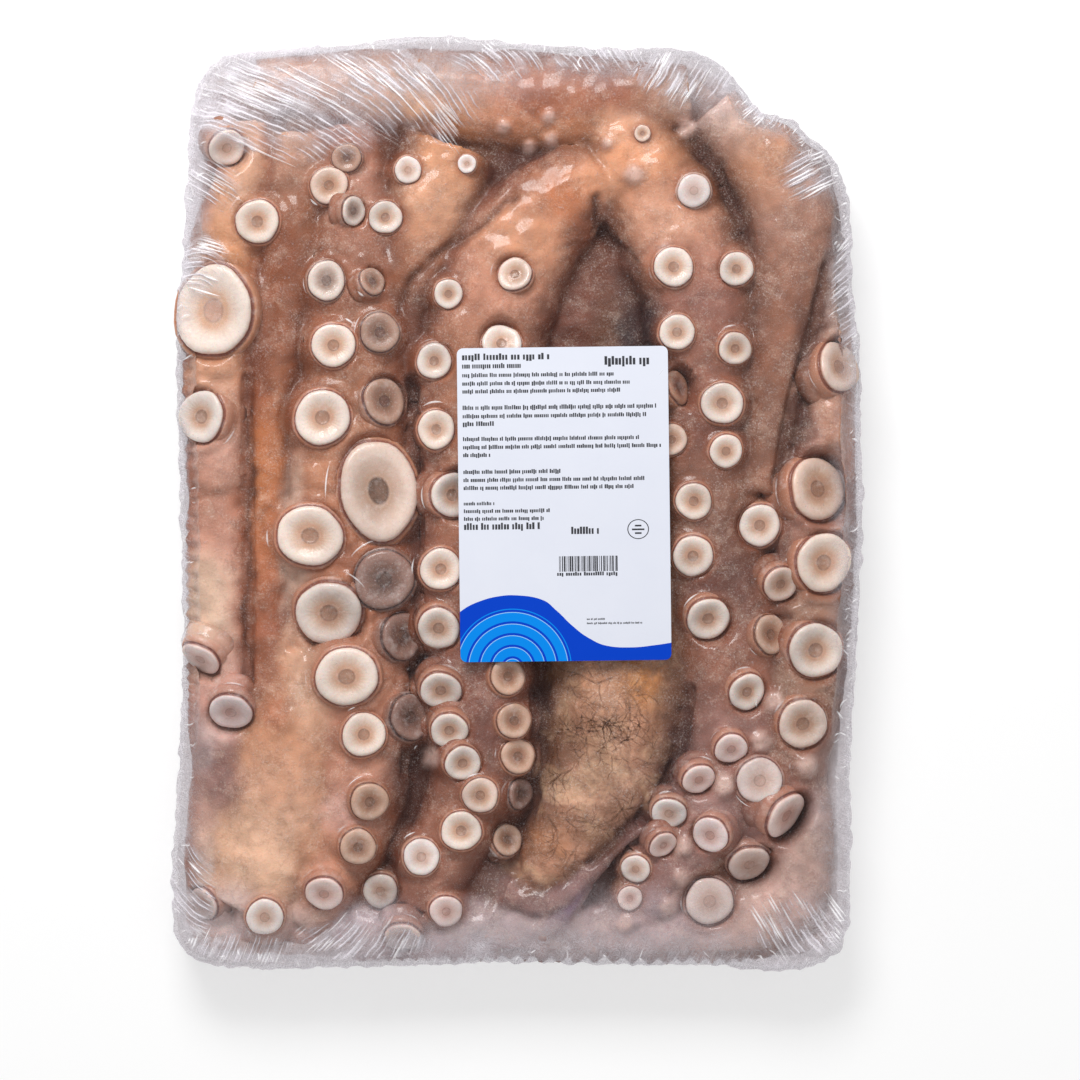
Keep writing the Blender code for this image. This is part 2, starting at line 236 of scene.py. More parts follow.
# Each row of suckers: place, width, lean from upright and the way it faces, tone, length over width.
SUCKERS = {
    "left edge": (
        S(-140, 172, 18, 38, -60, "milky"), S(-125, 136, 21), S(-146, 93, 37, 10, 180, "broad", 1.2),
        S(-152, 41.8, 25, 32, 180), S(-152.5, -75, 20, 60, -128, "pink"),
        S(-137.8, -100.7, 21, 46, -90, "pink"), S(-152, -194.5, 17, 50, 200, "pink"),
    ),
    "left outer": (
        S(-90.5, 153.6, 18, 0, 0, "buff"), S(-91.6, 107.4, 17.5, 0, 0, "grey", 1.13),
        S(-88, 76, 21), S(-93.3, 41.2, 26.5), S(-99.3, -15.8, 32, 0, 0, "white", 0.9),
        S(-90.5, -53.1, 32, 24, -90), S(-81.6, -83.6, 31, 0, 0, "white", 0.88),
        S(-73.4, -111.5, 21, 10, 20), S(-70.6, -144, 18.5, 18, -40, "tan"),
        S(-76.3, -165.9, 17.5, 14, -40, "tan"), S(-92.8, -188.5, 18.5, 34, -90, "pink"),
        S(-121.5, -200, 18, 8, -90, "milky"), S(-66, -188.3, 17, 8, -90, "milky"),
    ),
    "left inner": (
        S(-82, 167, 14, 0, 0, "dim"), S(-78.6, 141, 14, 48, 0, "grey"), S(-63.2, 138.2, 16),
        S(-52.3, 161, 13, 0, 0, "milky"), S(-69.5, 107, 14, 40, 20, "dim"),
        S(-65.7, 82.3, 19, 10, 0, "dim"), S(-63.7, 49.2, 22, 30, 15, "dim"),
        S(-66.4, 6, 37, 8, 10, "great", 1.34, 12), S(-63.7, -36.9, 28.5, 8, 0, "shade"),
        S(-55, -64.3, 23, 36, 10, "shade"), S(-51.2, -103.5, 22, 42, 10, "shade"),
    ),
    "middle outer": (
        S(-32.7, 101, 14), S(-39.6, 68.6, 17), S(-38.5, 35.5, 17.5, 0, 0, "white", 1.1),
        S(-31, 4, 22, 30, 0), S(-36.3, -31.8, 20), S(-37.4, -60.3, 20.5, 22, -90),
        S(-36.4, -90.4, 19.5, 32, -90), S(-32.2, -109.6, 18, 28, -90), S(-41.5, -123.5, 13, 40, 0, "bud"),
        S(-25.8, -125.4, 17.5, 20, -60), S(-17.3, -140.8, 17, 0, 0, "buff"), S(-26.5, -158, 19),
        S(-45.8, -170.8, 17.5, 0, 0, "milky"), S(-34, -197.6, 16, 24, -70, "pink"),
        S(-55, -210, 18, 48, -80, "pink"),
    ),
    "middle inner": (
        S(-0.7, 110.3, 16.5, 14, 120, "buff"), S(-7, 77, 19, 20, 90), S(-4, -83.6, 17.5, 26, 10, "tan"),
        S(-1, -105, 17, 22, 10, "tan"), S(0.8, -122.3, 17, 22, 10, "tan"), S(2, -141, 15, 42, 0, "shade"),
        S(-4.3, -163.4, 15.5, 34, 20, "tan"),
    ),
    "crown": (
        S(-23.8, 164, 9, 0, 0, "milky"), S(-6, 182, 8, 0, 0, "bud"), S(15.6, 187, 8, 0, 0, "bud"),
        S(6.5, 173, 8, 0, 0, "bud"), S(16.8, 176, 8, 0, 0, "bud"), S(44, 174, 7, 0, 0, "bud"),
        S(61, 178.7, 8, 0, 0, "buff"), S(82.9, 182, 11, 0, 0, "bud"), S(56.7, 159, 12, 0, 0, "bud"),
        S(72, 122, 9, 0, 0, "bud"),
    ),
    "right inner": (
        S(85.7, 150.7, 16, 0, 0, "frosted"), S(75.8, 113.7, 19), S(77.5, 82.3, 17),
        S(78, 56, 17, 62, 10, "flesh"),
        S(75, 30.7, 15, 0, 0, "buff"), S(85.5, 0.9, 17.5), S(85.2, -25.5, 19.5, 14, -90),
        S(92.6, -55.7, 21, 26, -60), S(111.4, -91, 18.5, 34, -45), S(103.6, -118.4, 16, 32, -60, "pink"),
        S(88, -133.2, 16, 38, -75, "pink"), S(73.8, -149.7, 16.5, 24, -100, "milky"),
        S(70.9, -165, 14, 42, -60, "pink"), S(57.8, -177, 14, 22, -110, "milky"),
        S(55, -191.3, 12, 10, -90, "pink"), S(52.7, -203, 11, 0, 0, "bud"),
    ),
    "right outer": (
        S(106.3, 113, 16.5, 12, 0), S(105.5, 74.5, 16, 18, -45), S(99.2, 48, 20),
        S(101.1, 25, 16, 14, -60), S(117.7, -10.7, 20), S(127.6, -39, 18, 34, -50, "buff"),
        S(122.8, -63.4, 19, 38, 0, "tan"), S(124.5, -96, 13, 20, 0, "bud"),
        S(118.6, -115.5, 13, 20, 0, "bud"),
        S(100.6, -136, 14, 30, 0, "bud"), S(117.4, -133.8, 22, 0, 0, "flat"),
        S(93.7, -160, 18, 30, -130, "pink"),
        S(80.6, -165.7, 11, 20, 0, "bud"), S(80, -181.6, 11, 20, 0, "bud"),
        S(112.9, -174.8, 20.5, 38, -80, "flat"),
        S(93.7, -193, 23, 0, 0, "flat"), S(74, -196, 12, 0, 0, "bud"),
    ),
    "right edge": (
        S(156, 66, 25, 46, 15, "buff"), S(145.6, 7, 31, 40, 10, "buff"), S(148.5, -28.7, 28.5, 26, -15),
        S(144.5, -71, 27, 20, -30), S(138.2, -106.4, 24, 16, -60, "buff"),
        S(130.2, -150.9, 24, 60, -45, "pink"), S(140, -127, 13, 20, 0, "bud"),
    ),
}

# A sucker's turned profile: radius and height as shares of its half-width, and what is there.
SUCKER_PROFILE = (
    (0.00, -1.35, "foot"), (0.80, -1.35, "foot"), (1.34, -1.20, "foot"), (1.32, -1.00, "foot"),
    (1.27, -0.84, "stalk"), (1.22, -0.70, "stalk"), (1.18, -0.56, "crease"),
    (1.185, -0.46, "stalk"), (1.17, -0.34, "stalk"), (1.13, -0.20, "fold"), (1.08, -0.13, "fold"),
    (1.03, -0.14, "seam"), (0.995, -0.11, "seam"), (0.985, -0.06, "seam"), (1.00, 0.00, "edge"),
    (0.985, 0.06, "rim"), (0.93, 0.11, "rim"), (0.84, 0.13, "rim"), (0.72, 0.11, "rim"),
    (0.60, 0.07, "slope"), (0.47, 0.03, "bowl"), (0.36, 0.01, "lip"), (0.30, 0.005, "lip"),
    (0.245, 0.005, "ring"), (0.20, -0.015, "hole"), (0.10, -0.025, "hole"), (0.00, -0.02, "hole"),
)
BOWL_STARTS = 18  # the profile's stations from here inwards follow the tone's depth

# What each tone paints on the profile, and how deep its bowl is.
# The dim and shade tones are darker copies for suckers that lie low between the arms: painted shade. The seam,
# the dark line under the disc's edge, is a reddish-brown line with painted shade in it.
SUCKER_TONES = {
    "white": (1.0, "#9c5f46", "#bd8268", "#8a4d3b", "#d0a896", "#ecdbd0", "#e6cfc0", "#d9b8a3",
              "#cb9f86", "#a9806a"),
    "great": (1.2, "#9c5f46", "#bf8567", "#8a4f3e", "#cfa392", "#e6d0c4", "#d8bfb1", "#ccb0a1",
              "#bf9f8c", "#75594a"),
    "broad": (0.9, "#9c5f46", "#c58b6c", "#8a5040", "#dbb5a3", "#f1e2d8", "#edd9cb", "#e6c8b3",
              "#daaa86", "#cb9a7d"),
    "milky": (0.6, "#a46f5a", "#c7937c", "#8f5849", "#d9b8ab", "#efe0d9", "#e9d4ca", "#e0c4b6",
              "#d6b3a2", "#c39c89"),
    "buff": (0.9, "#94593f", "#b67c62", "#824938", "#c69b87", "#e3c8b9", "#d8b8a4", "#caa38b",
             "#bb8f77", "#9d735c"),
    "grey": (1.0, "#855a47", "#aa7d69", "#70443a", "#c0a090", "#e2cfc3", "#cdb5a7", "#b59a8c",
             "#9f8375", "#7d6256"),
    "tan": (0.9, "#89563f", "#ad755b", "#74432f", "#b58b74", "#cfa993", "#bf9881", "#ae8269",
            "#9d7059", "#805a46"),
    "dim": (0.9, "#7f5241", "#9c6e59", "#66403a", "#9f796a", "#b3907f", "#a37e6d", "#936d5c",
            "#83614f", "#6a4a40"),
    "shade": (0.8, "#6a463c", "#876052", "#543630", "#836055", "#957266", "#87655a", "#78584c",
              "#694a41", "#573e36"),
    "pink": (0.4, "#925d4b", "#bf8874", "#864f45", "#d4aca0", "#efd9d4", "#ebd1cb", "#e2c3bb",
             "#d7b1a7", "#c1978c"),
    "flat": (0.15, "#855b4f", "#b88a7c", "#805148", "#c59c90", "#e6d0c9", "#e0c7be", "#d9bcb1",
             "#d2b0a3", "#c6a193"),
    "frosted": (0.2, "#ab8071", "#c9a496", "#a37b6c", "#d5bbb2", "#e8dad6", "#e3d0ca", "#dcc5bd",
                "#d5bab1", "#cbaca2"),
    "flesh": (0.3, "#80503b", "#ad785b", "#754737", "#a6735a", "#b0816a", "#a27360", "#936552",
              "#855748", "#6f4838"),
}
TONE_PARTS = ("foot", "fold", "seam", "edge", "rim", "slope", "bowl", "lip", "hole")
PART_OF_STATION = {"stalk": "fold", "crease": "foot"}

# Where the film is gathered into parallel pleats: the middle of the field, its half-size along and
# across the pleats, their direction in degrees at its two ends, how many, and the shortest and longest.
PLEAT_FIELDS = {
    "upper left": (-116, 190, 48, 21, -14, -19, -32, 2.6, 30, 22, 56),
    "upper middle": (-56, 198, 36, 20, -20, -34, -54, 2.8, 26, 16, 40),
    "top middle": (-8, 214, 24, 9, 0, -38, -58, 2.4, 12, 6, 16),
    "left shoulder": (-148, 155, 15, 11, -30, -30, -34, 2.0, 12, 10, 22),
    "left notch": (-152, 116, 12, 16, 0, 10, -36, 2.1, 14, 8, 20),
    "top": (44, 216, 30, 7, 0, -50, -70, 2.4, 10, 5, 12),
    "top right": (80, 208, 30, 12, -14, 66, 52, 2.7, 22, 8, 22),
    "cut corner": (143, 160, 15, 13, 28, 27, 30, 2.3, 10, 14, 26),
    "cut edge": (122, 190, 13, 7, -30, 40, 60, 2.0, 12, 5, 12),
    "right upper": (161, 104, 36, 8, 90, 34, 48, 2.3, 24, 6, 15),
    "lower right": (140, -206, 24, 16, 0, 118, 130, 2.5, 34, 10, 26),
    "lower left": (-134, -216, 30, 8, 0, 64, 72, 2.0, 24, 6, 11),
    "bottom left": (-74, -212, 34, 10, 0, 36, 70, 2.4, 24, 5, 18),
    "left foot": (-158, -190, 12, 24, 0, 120, 150, 2.1, 14, 5, 12),
}
CREASE_COUNT = 240  # short creases scattered along the whole margin

FILM_TOP = 36.0  # the film's height where nothing under it is higher, and its edge's radius
FILM_EDGE = 3.5

# The label's print, in millimetres from its lower left corner.
WAVE = ((0, 24.2), (8.4, 28.8), (20, 31.7), (27, 31.9), (38.6, 30), (46.6, 24.2), (53.5, 17.4),
        (62.6, 10.5), (70.6, 7.1), (83, 6.2), (93.4, 7.1), (101.5, 8.2))
WAVE_SCALE = 40.0
RIPPLE_CENTRE = (25, -3)
RIPPLE_RADIUS = 28.5
RIPPLE_PITCH = 5.6
# Rows of plain bars: height above the lower edge, start, end, the bars' height and their width.
PRINT_ROWS = (
    (145.2, 2.5, 46, 2.4, 1.5), (142.2, 71, 94, 3.2, 1.7), (141.2, 2.5, 32, 1.9, 1.0),
    (137.0, 2.5, 76, 1.5, 0.9), (133.0, 2.5, 84, 1.5, 0.9), (129.2, 2.5, 80, 1.5, 0.9),
    (121.3, 2.5, 96, 1.6, 0.9), (117.3, 2.5, 92, 1.5, 0.9), (113.5, 2.5, 18, 1.7, 1.1),
    (106.3, 2.5, 88, 1.5, 0.9), (102.4, 2.5, 98, 1.5, 0.9), (98.6, 2.5, 16, 1.5, 0.9),
    (90.5, 2.5, 50, 1.5, 0.9), (86.6, 2.5, 90, 1.5, 0.9), (82.8, 2.5, 86, 1.5, 0.9),
    (75.4, 2.5, 18, 1.3, 0.8), (71.7, 2.5, 44, 1.4, 0.9), (68.0, 2.5, 42, 1.4, 0.9),
    (63.6, 2.5, 40, 2.5, 1.4), (61.0, 54, 68, 2.7, 1.4), (41.0, 47, 77, 1.4, 1.1),
    (19.6, 61, 70, 0.7, 0.5), (17.6, 61, 88, 0.7, 0.5),
)
BARCODE = (48, 43, 29, 7.4)  # left, bottom, width and height
STAMP = (86.2, 63, 5.2)  # centre and radius of the plain ring


def paint_of(code):
    """The linear colour of a six-digit code."""
    shares = [int(code[i : i + 2], 16) / 255 for i in (1, 3, 5)]
    return tuple(c / 12.92 if c <= 0.04045 else ((c + 0.055) / 1.055) ** 2.4 for c in shares)


def plan(x, y, z=0.0):
    """A place given in millimetres on the plan, in metres in the block's frame."""
    return Vector((x * MM, (y + PLAN_SHIFT_Y) * MM, z * MM))


def ease(low, high, value):
    """0 below low, 1 above high and smooth between them."""
    t = np.clip((value - low) / (high - low), 0, 1)
    return t * t * (3 - 2 * t)


def clouds(x, y, size, seed):
    """Smooth uneven values between -1 and 1, with lumps about as large as size."""
    table = np.random.default_rng(seed).uniform(-1, 1, (97, 97))
    u, v = np.asarray(x) / size, np.asarray(y) / size
    column, row = np.floor(u).astype(int), np.floor(v).astype(int)
    s, t = ease(0, 1, u - column), ease(0, 1, v - row)
    near, far = column % 97, (column + 1) % 97
    lower, upper = row % 97, (row + 1) % 97
    below = table[lower, near] * (1 - s) + table[lower, far] * s
    above = table[upper, near] * (1 - s) + table[upper, far] * s
    return below * (1 - t) + above * t


def lumps(x, y, size, seed):
    """Clouds with finer ones added."""
    return (clouds(x, y, size, seed) + 0.5 * clouds(y, x, size * 0.47, seed + 1)
            + 0.25 * clouds(x, y, size * 0.21, seed + 2)) / 1.75


def along(points, count):
    """Evenly stepped places on the smooth curve through the points, with all their values."""
    p = np.array(points, float)
    p = np.vstack([2 * p[0] - p[1], p, 2 * p[-1] - p[-2]])
    places = np.linspace(0, len(points) - 1, count)
    k = np.minimum(places.astype(int), len(points) - 2)
    t = (places - k)[:, None]
    a, b, c, d = p[k], p[k + 1], p[k + 2], p[k + 3]
    return 0.5 * (2 * b + (c - a) * t + (2 * a - 5 * b + 4 * c - d) * t**2
                  + (3 * b - a - 3 * c + d) * t**3)


def places_of(mesh):
    """The mesh's vertices as millimetres on the plan."""
    flat = np.empty(len(mesh.vertices) * 3, np.float32)
    mesh.vertices.foreach_get("co", flat)
    places = flat.reshape(-1, 3).astype(float) / MM
    places[:, 1] -= PLAN_SHIFT_Y
    return places


def put_places(mesh, places):
    moved = places.copy()
    moved[:, 1] += PLAN_SHIFT_Y
    mesh.vertices.foreach_set("co", (moved * MM).astype(np.float32).ravel())
    mesh.update()


def normals_of(mesh):
    flat = np.empty(len(mesh.vertices) * 3, np.float32)
    mesh.vertices.foreach_get("normal", flat)
    return flat.reshape(-1, 3).astype(float)


def keep_paint(mesh, name, colours):
    """Stores a colour for each vertex."""
    layer = mesh.color_attributes.new(name, "FLOAT_COLOR", "POINT")
    rows = np.ones((len(mesh.vertices), 4), np.float32)
    rows[:, :3] = np.clip(colours, 0, 1)
    layer.data.foreach_set("color", rows.ravel())


def keep_value(mesh, name, values):
    """Stores a number for each vertex."""
    layer = mesh.attributes.new(name, "FLOAT", "POINT")
    layer.data.foreach_set("value", np.asarray(values, np.float32))


class Relief:
    """The heights, in millimetres, that a straight drop onto some pieces finds over the plan."""

    STEP = 1.5
    HALF = (174, 232)

    def __init__(self, *pieces):
        self.x = np.arange(-self.HALF[0], self.HALF[0] + self.STEP, self.STEP)
        self.y = np.arange(-self.HALF[1], self.HALF[1] + self.STEP, self.STEP)
        self.z = np.zeros((len(self.y), len(self.x)))
        for piece in pieces:
            self.drop_on(piece)

    def drop_on(self, piece):
        body = bmesh.new()
        body.from_mesh(piece.data)
        tree = BVHTree.FromBMesh(body)
        body.free()
        for row, y in enumerate(self.y):
            for column, x in enumerate(self.x):
                hit = tree.ray_cast(plan(x, y, 90), DOWN)[0]
                if hit is not None:
                    self.z[row, column] = max(self.z[row, column], hit.z / MM)

    def at(self, x, y, heights=None):
        heights = self.z if heights is None else heights
        u = np.clip((np.asarray(x) - self.x[0]) / self.STEP, 0, len(self.x) - 1.001)
        v = np.clip((np.asarray(y) - self.y[0]) / self.STEP, 0, len(self.y) - 1.001)
        column, row = u.astype(int), v.astype(int)
        s, t = u - column, v - row
        below = heights[row, column] * (1 - s) + heights[row, column + 1] * s
        above = heights[row + 1, column] * (1 - s) + heights[row + 1, column + 1] * s
        return below * (1 - t) + above * t

    def drawn(self, passes):
        """A skin drawn over the heights: it spans their hollows and rests on their tops."""
        skin = self.z.copy()
        for _ in range(passes):
            mean = skin.copy()
            mean[1:-1, 1:-1] = (skin[:-2, 1:-1] + skin[2:, 1:-1]
                                + skin[1:-1, :-2] + skin[1:-1, 2:]) / 4
            skin = np.maximum(self.z, mean)
        return skin


OUTLINE_CURVE = along(OUTLINE + OUTLINE[:1], 420)
OUTLINE_STEPS = np.roll(OUTLINE_CURVE, -1, 0)[:-1] - OUTLINE_CURVE[:-1]

OUTLINE_RUNS = np.concatenate([[0], np.cumsum(np.hypot(*OUTLINE_STEPS.T))])


class EdgeField:
    """For places on the plan: how far inside the outline, how far along it, and the way inwards."""

    def __init__(self, x, y):
        x, y = np.asarray(x, float), np.asarray(y, float)
        best = np.full(x.shape, 1e9)
        nearest = np.zeros(x.shape, int)
        for number, (px, py) in enumerate(OUTLINE_CURVE[:-1]):
            away = (x - px) ** 2 + (y - py) ** 2
            closer = away < best
            best = np.where(closer, away, best)
            nearest = np.where(closer, number, nearest)
        steps = OUTLINE_STEPS[nearest]
        steps = steps / np.maximum(np.hypot(steps[..., 0], steps[..., 1]), 1e-6)[..., None]
        self.inward = np.stack([steps[..., 1], -steps[..., 0]], -1)
        away = np.stack([x, y], -1) - OUTLINE_CURVE[nearest]
        self.inside = np.sqrt(best) * np.sign((away * self.inward).sum(-1) + 1e-9)
        self.run = OUTLINE_RUNS[nearest] + (away * steps).sum(-1)


class Seat:
    """Where a sucker stands: on the skin, leaning the way it faces."""

    CEILING = 54.0
    SHADING = {"left edge": 0.45}

    def __init__(self, row, sucker, relief, dice):
        self.sucker = sucker
        self.is_bud = sucker.tone == "bud"
        self.shading = self.SHADING.get(row, 1.0)
        self.radius = sucker.width / 2
        self.lean = math.radians(max(0.0, sucker.lean * 0.9 + dice.uniform(-3, 5)))
        self.toward = math.radians(sucker.toward + dice.uniform(-12, 12))
        self.turn = math.radians(sucker.turn)
        self.facing = Vector((math.cos(self.toward), math.sin(self.toward), 0))
        reach = 0.55 * self.radius
        skin = np.mean([
            relief.at(sucker.x + reach * math.cos(turn), sucker.y + reach * math.sin(turn))
            for turn in np.linspace(0, math.tau, 8, endpoint=False)
        ])
        rise = min(0.40 * self.radius, 4.0)
        ceiling = self.CEILING - self.radius * math.sin(self.lean) - 0.14 * self.radius
        self.height = min(float(skin) + rise, ceiling)
        self.normal = self.facing * math.sin(self.lean) + Vector((0, 0, math.cos(self.lean)))

    def out(self, x, y):
        """How far places are from the disc's middle, seen from above, in half-widths."""
        dx, dy = x - self.sucker.x, y - self.sucker.y
        long_x, long_y = -math.sin(self.turn), math.cos(self.turn)
        shorten = (dx * long_x + dy * long_y) * (1 - 1 / self.sucker.oval)
        dx, dy = dx - long_x * shorten, dy - long_y * shorten
        ahead = dx * self.facing.x + dy * self.facing.y
        beside = dy * self.facing.x - dx * self.facing.y
        return np.hypot(ahead / (self.radius * math.cos(self.lean)), beside / self.radius)

    def plane(self, x, y):
        """The height of the disc's plane over places."""
        n = self.normal
        drop = (n.x * (x - self.sucker.x) + n.y * (y - self.sucker.y)) / n.z
        return self.height - np.clip(drop, -2 * self.radius, 2 * self.radius)

    def matrix(self):
        axis = Vector((-self.facing.y, self.facing.x, 0))
        size = self.radius * MM
        return (
            Matrix.Translation(plan(self.sucker.x, self.sucker.y, self.height))
            @ Matrix.Rotation(self.lean, 4, axis)
            @ Matrix.Rotation(self.turn, 4, "Z")
            @ Matrix.Diagonal((size, size * self.sucker.oval, size, 1))
        )


def seat_suckers(relief):
    dice = random.Random(11)
    return [Seat(name, sucker, relief, dice) for name, row in SUCKERS.items() for sucker in row]


def mesh_of(curve):
    """The curve's surface as a mesh, with the curve itself removed."""
    obj = bpy.data.objects.new("guide", curve)
    bpy.context.collection.objects.link(obj)
    bpy.context.view_layer.update()
    graph = bpy.context.evaluated_depsgraph_get()
    mesh = bpy.data.meshes.new_from_object(obj.evaluated_get(graph))
    bpy.data.objects.remove(obj)
    return mesh


def smooth_spline(curve, places, radii, cyclic=False):
    spline = curve.splines.new("BEZIER")
    spline.bezier_points.add(len(places) - 1)
    spline.use_cyclic_u = cyclic
    for point, place, radius in zip(spline.bezier_points, places, radii):
        point.co = place
        point.radius = radius
        point.handle_left_type = point.handle_right_type = "AUTO"


def tray_solid(inset, low, high, edge_radius):
    """A slab of the tray's outline, so far inside it, with rounded edges."""
    curve = bpy.data.curves.new("slab", "CURVE")
    curve.dimensions = "2D"
    curve.fill_mode = "BOTH"
    curve.resolution_u = 6
    curve.extrude = ((high - low) / 2 - edge_radius) * MM
    curve.bevel_depth = edge_radius * MM
    curve.bevel_resolution = 5
    curve.offset = -(edge_radius + inset) * MM
    smooth_spline(curve, [plan(x, y) for x, y in OUTLINE], [1.0] * len(OUTLINE), cyclic=True)
    mesh = mesh_of(curve)
    mesh.transform(Matrix.Translation((0, 0, (low + high) / 2 * MM)))
    return mesh


def arm_solid(route, flatness=0.62):
    """A tapering arm along its route, wider than it is high, its top at the route's heights."""
    curve = bpy.data.curves.new("arm", "CURVE")
    curve.dimensions = "3D"
    curve.resolution_u = 10
    curve.bevel_depth = 1.0
    curve.bevel_resolution = 10
    curve.use_fill_caps = True
    places = [plan(x, y, top / flatness - half_width) for x, y, half_width, top in route]
    smooth_spline(curve, places, [half_width * MM for _, _, half_width, _ in route])
    mesh = mesh_of(curve)
    mesh.transform(Matrix.Diagonal((1, 1, flatness, 1)))
    return mesh


def remeshed(name, solids, voxel, smoothing):
    """The solids as one skin of even faces."""
    body = bmesh.new()
    for solid in solids:
        body.from_mesh(solid)
    mesh = bpy.data.meshes.new(name)
    body.to_mesh(mesh)
    body.free()
    obj = bpy.data.objects.new(name, mesh)
    bpy.context.collection.objects.link(obj)
    remesh = obj.modifiers.new("skin", "REMESH")
    remesh.mode = "VOXEL"
    remesh.voxel_size = voxel * MM
    smooth = obj.modifiers.new("smooth", "SMOOTH")
    smooth.factor = 0.5
    smooth.iterations = smoothing
    bpy.context.view_layer.update()
    graph = bpy.context.evaluated_depsgraph_get()
    whole = bpy.data.meshes.new_from_object(obj.evaluated_get(graph))
    obj.modifiers.clear()
    obj.data = whole
    return obj


def cut_level(obj, height):
    """The piece with everything below the height cut away and the cut filled."""
    body = bmesh.new()
    body.from_mesh(obj.data)
    everything = body.verts[:] + body.edges[:] + body.faces[:]
    cut = bmesh.ops.bisect_plane(
        body, geom=everything, plane_co=(0, 0, height * MM), plane_no=(0, 0, 1), clear_inner=True
    )["geom_cut"]
    rim = [edge for edge in cut if isinstance(edge, bmesh.types.BMEdge)]
    bmesh.ops.holes_fill(body, edges=rim, sides=0)
    body.to_mesh(obj.data)
    body.free()


def new_piece(name, body, smooth=True):
    """The bmesh as a finished piece."""
    mesh = bpy.data.meshes.new(name)
    body.to_mesh(mesh)
    body.free()
    if smooth:
        mesh.shade_smooth()
    obj = bpy.data.objects.new(name, mesh)
    bpy.context.collection.objects.link(obj)
    return obj


class Value:
    """A number in a material: Python's arithmetic on it adds Math nodes."""

    def __init__(self, finish, socket):
        self.finish = finish
        self.socket = socket

    def calculate(self, operation, *others):
        inputs = dict(enumerate((self, *others)))
        return self.finish.node("ShaderNodeMath", {"operation": operation}, inputs)

    def __add__(self, other):
        return self.calculate("ADD", other)

    __radd__ = __add__

    def __sub__(self, other):
        return self.calculate("SUBTRACT", other)

    def __rsub__(self, other):
        return self.calculate("MULTIPLY", -1.0).calculate("ADD", other)

    def __mul__(self, other):
        return self.calculate("MULTIPLY", other)

    __rmul__ = __mul__

    def __truediv__(self, other):
        return self.calculate("DIVIDE", other)

    def below(self, other):
        return self.calculate("LESS_THAN", other)

    def above(self, other):
        return self.calculate("GREATER_THAN", other)

    def clamped(self):
        return self.calculate("MAXIMUM", 0.0).calculate("MINIMUM", 1.0)

    def wave(self):
        return self.calculate("SINE")


class Finish:
    """A material under construction, with a Principled shader at its end."""

    def __init__(self, name, **constants):
        self.material = bpy.data.materials.new(name)
        self.material.use_nodes = True
        self.tree = self.material.node_tree
        self.shader = self.tree.nodes["Principled BSDF"]
        for socket, value in constants.items():
            self.shader.inputs[socket.replace("_", " ")].default_value = value

    def node(self, kind, settings=None, inputs=None, output=0):
        node = self.tree.nodes.new(kind)
        for name, value in (settings or {}).items():
            if name == "stops":
                self.set_stops(node.color_ramp, value)
            elif name == "curve":
                self.set_curve(node.mapping, value)
            else:
                setattr(node, name, value)
        for name, value in (inputs or {}).items():
            self.feed(node.inputs[name], value)
        return Value(self, node.outputs[output])

    def feed(self, socket, value):
        if isinstance(value, Value):
            self.tree.links.new(value.socket, socket)
        else:
            socket.default_value = value

    @staticmethod
    def set_stops(ramp, stops):
        while len(ramp.elements) < len(stops):
            ramp.elements.new(0.5)
        for element, (place, colour) in zip(ramp.elements, stops):
            element.position = place
            element.color = (*colour, 1)

    @staticmethod
    def set_curve(mapping, points):
        line = mapping.curves[0]
        for _ in range(len(points) - 2):
            line.points.new(0.5, 0.5)
        for point, place in zip(line.points, points):
            point.location = place
        mapping.update()

    def attribute(self, name, output="Fac"):
        return self.node("ShaderNodeAttribute", {"attribute_name": name}, None, output)

    def place(self, output="Object"):
        return self.node("ShaderNodeTexCoord", None, None, output)

    def noise(self, scale, detail=3.0, roughness=0.5, distortion=0.0, vector=None):
        """Uneven values about one half, with so many lumps to the metre."""
        return self.node(
            "ShaderNodeTexNoise",
            None,
            {"Vector": vector or self.place(), "Scale": scale, "Detail": detail,
             "Roughness": roughness, "Distortion": distortion},
        )

    def mix(self, share, first, second, blend="MIX"):
        return self.node(
            "ShaderNodeMix",
            {"data_type": "RGBA", "blend_type": blend},
            {0: share, 6: first, 7: second},
            2,
        )

    def bump(self, height, distance, strength=1.0, normal=None):
        inputs = {"Height": height, "Distance": distance * MM, "Strength": strength}
        if normal is not None:
            inputs["Normal"] = normal
        return self.node("ShaderNodeBump", None, inputs)

    def drive(self, **sockets):
        for socket, value in sockets.items():
            self.feed(self.shader.inputs[socket.replace("_", " ")], value)
        return self.material


def solid_colour(colour):
    return (*colour, 1.0)


def ride_and_slot(obj, material):
    obj.data.materials.clear()
    obj.data.materials.append(material)
    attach(obj, "root")
    return obj


class BlockSizes(bpy.types.PropertyGroup):
    """Sizes of the block's parts."""

    flesh_step: FloatProperty(
        name="Flesh step", description="Size of the flesh's faces, in millimetres",
        default=1.66, min=1.2, max=6.0,
    )
    film_step: FloatProperty(
        name="Film step", description="Size of the film's faces, in millimetres",
        default=2.4, min=1.5, max=6.0,
    )
    sucker_sides: IntProperty(
        name="Sucker sides", description="Steps in each sucker's turn", default=30, min=12, max=48,
    )
    ice_top: FloatProperty(
        name="Ice top", description="Height of the ice between the arms, in millimetres",
        default=34.0, min=20.0, max=45.0,
    )
    label_thickness: FloatProperty(
        name="Label thickness", description="Thickness of the label's paper", default=0.00025,
        min=0.0001, max=0.001, subtype="DISTANCE", unit="LENGTH",
    )
    label_lift: FloatProperty(
        name="Label lift", description="Gap between the film and the label", default=0.0002,
        min=0.0, max=0.002, subtype="DISTANCE", unit="LENGTH",
    )


def colour_property(name, description, code):
    return FloatVectorProperty(
        name=name, description=description, default=paint_of(code), size=3, min=0, max=1,
        subtype="COLOR",
    )


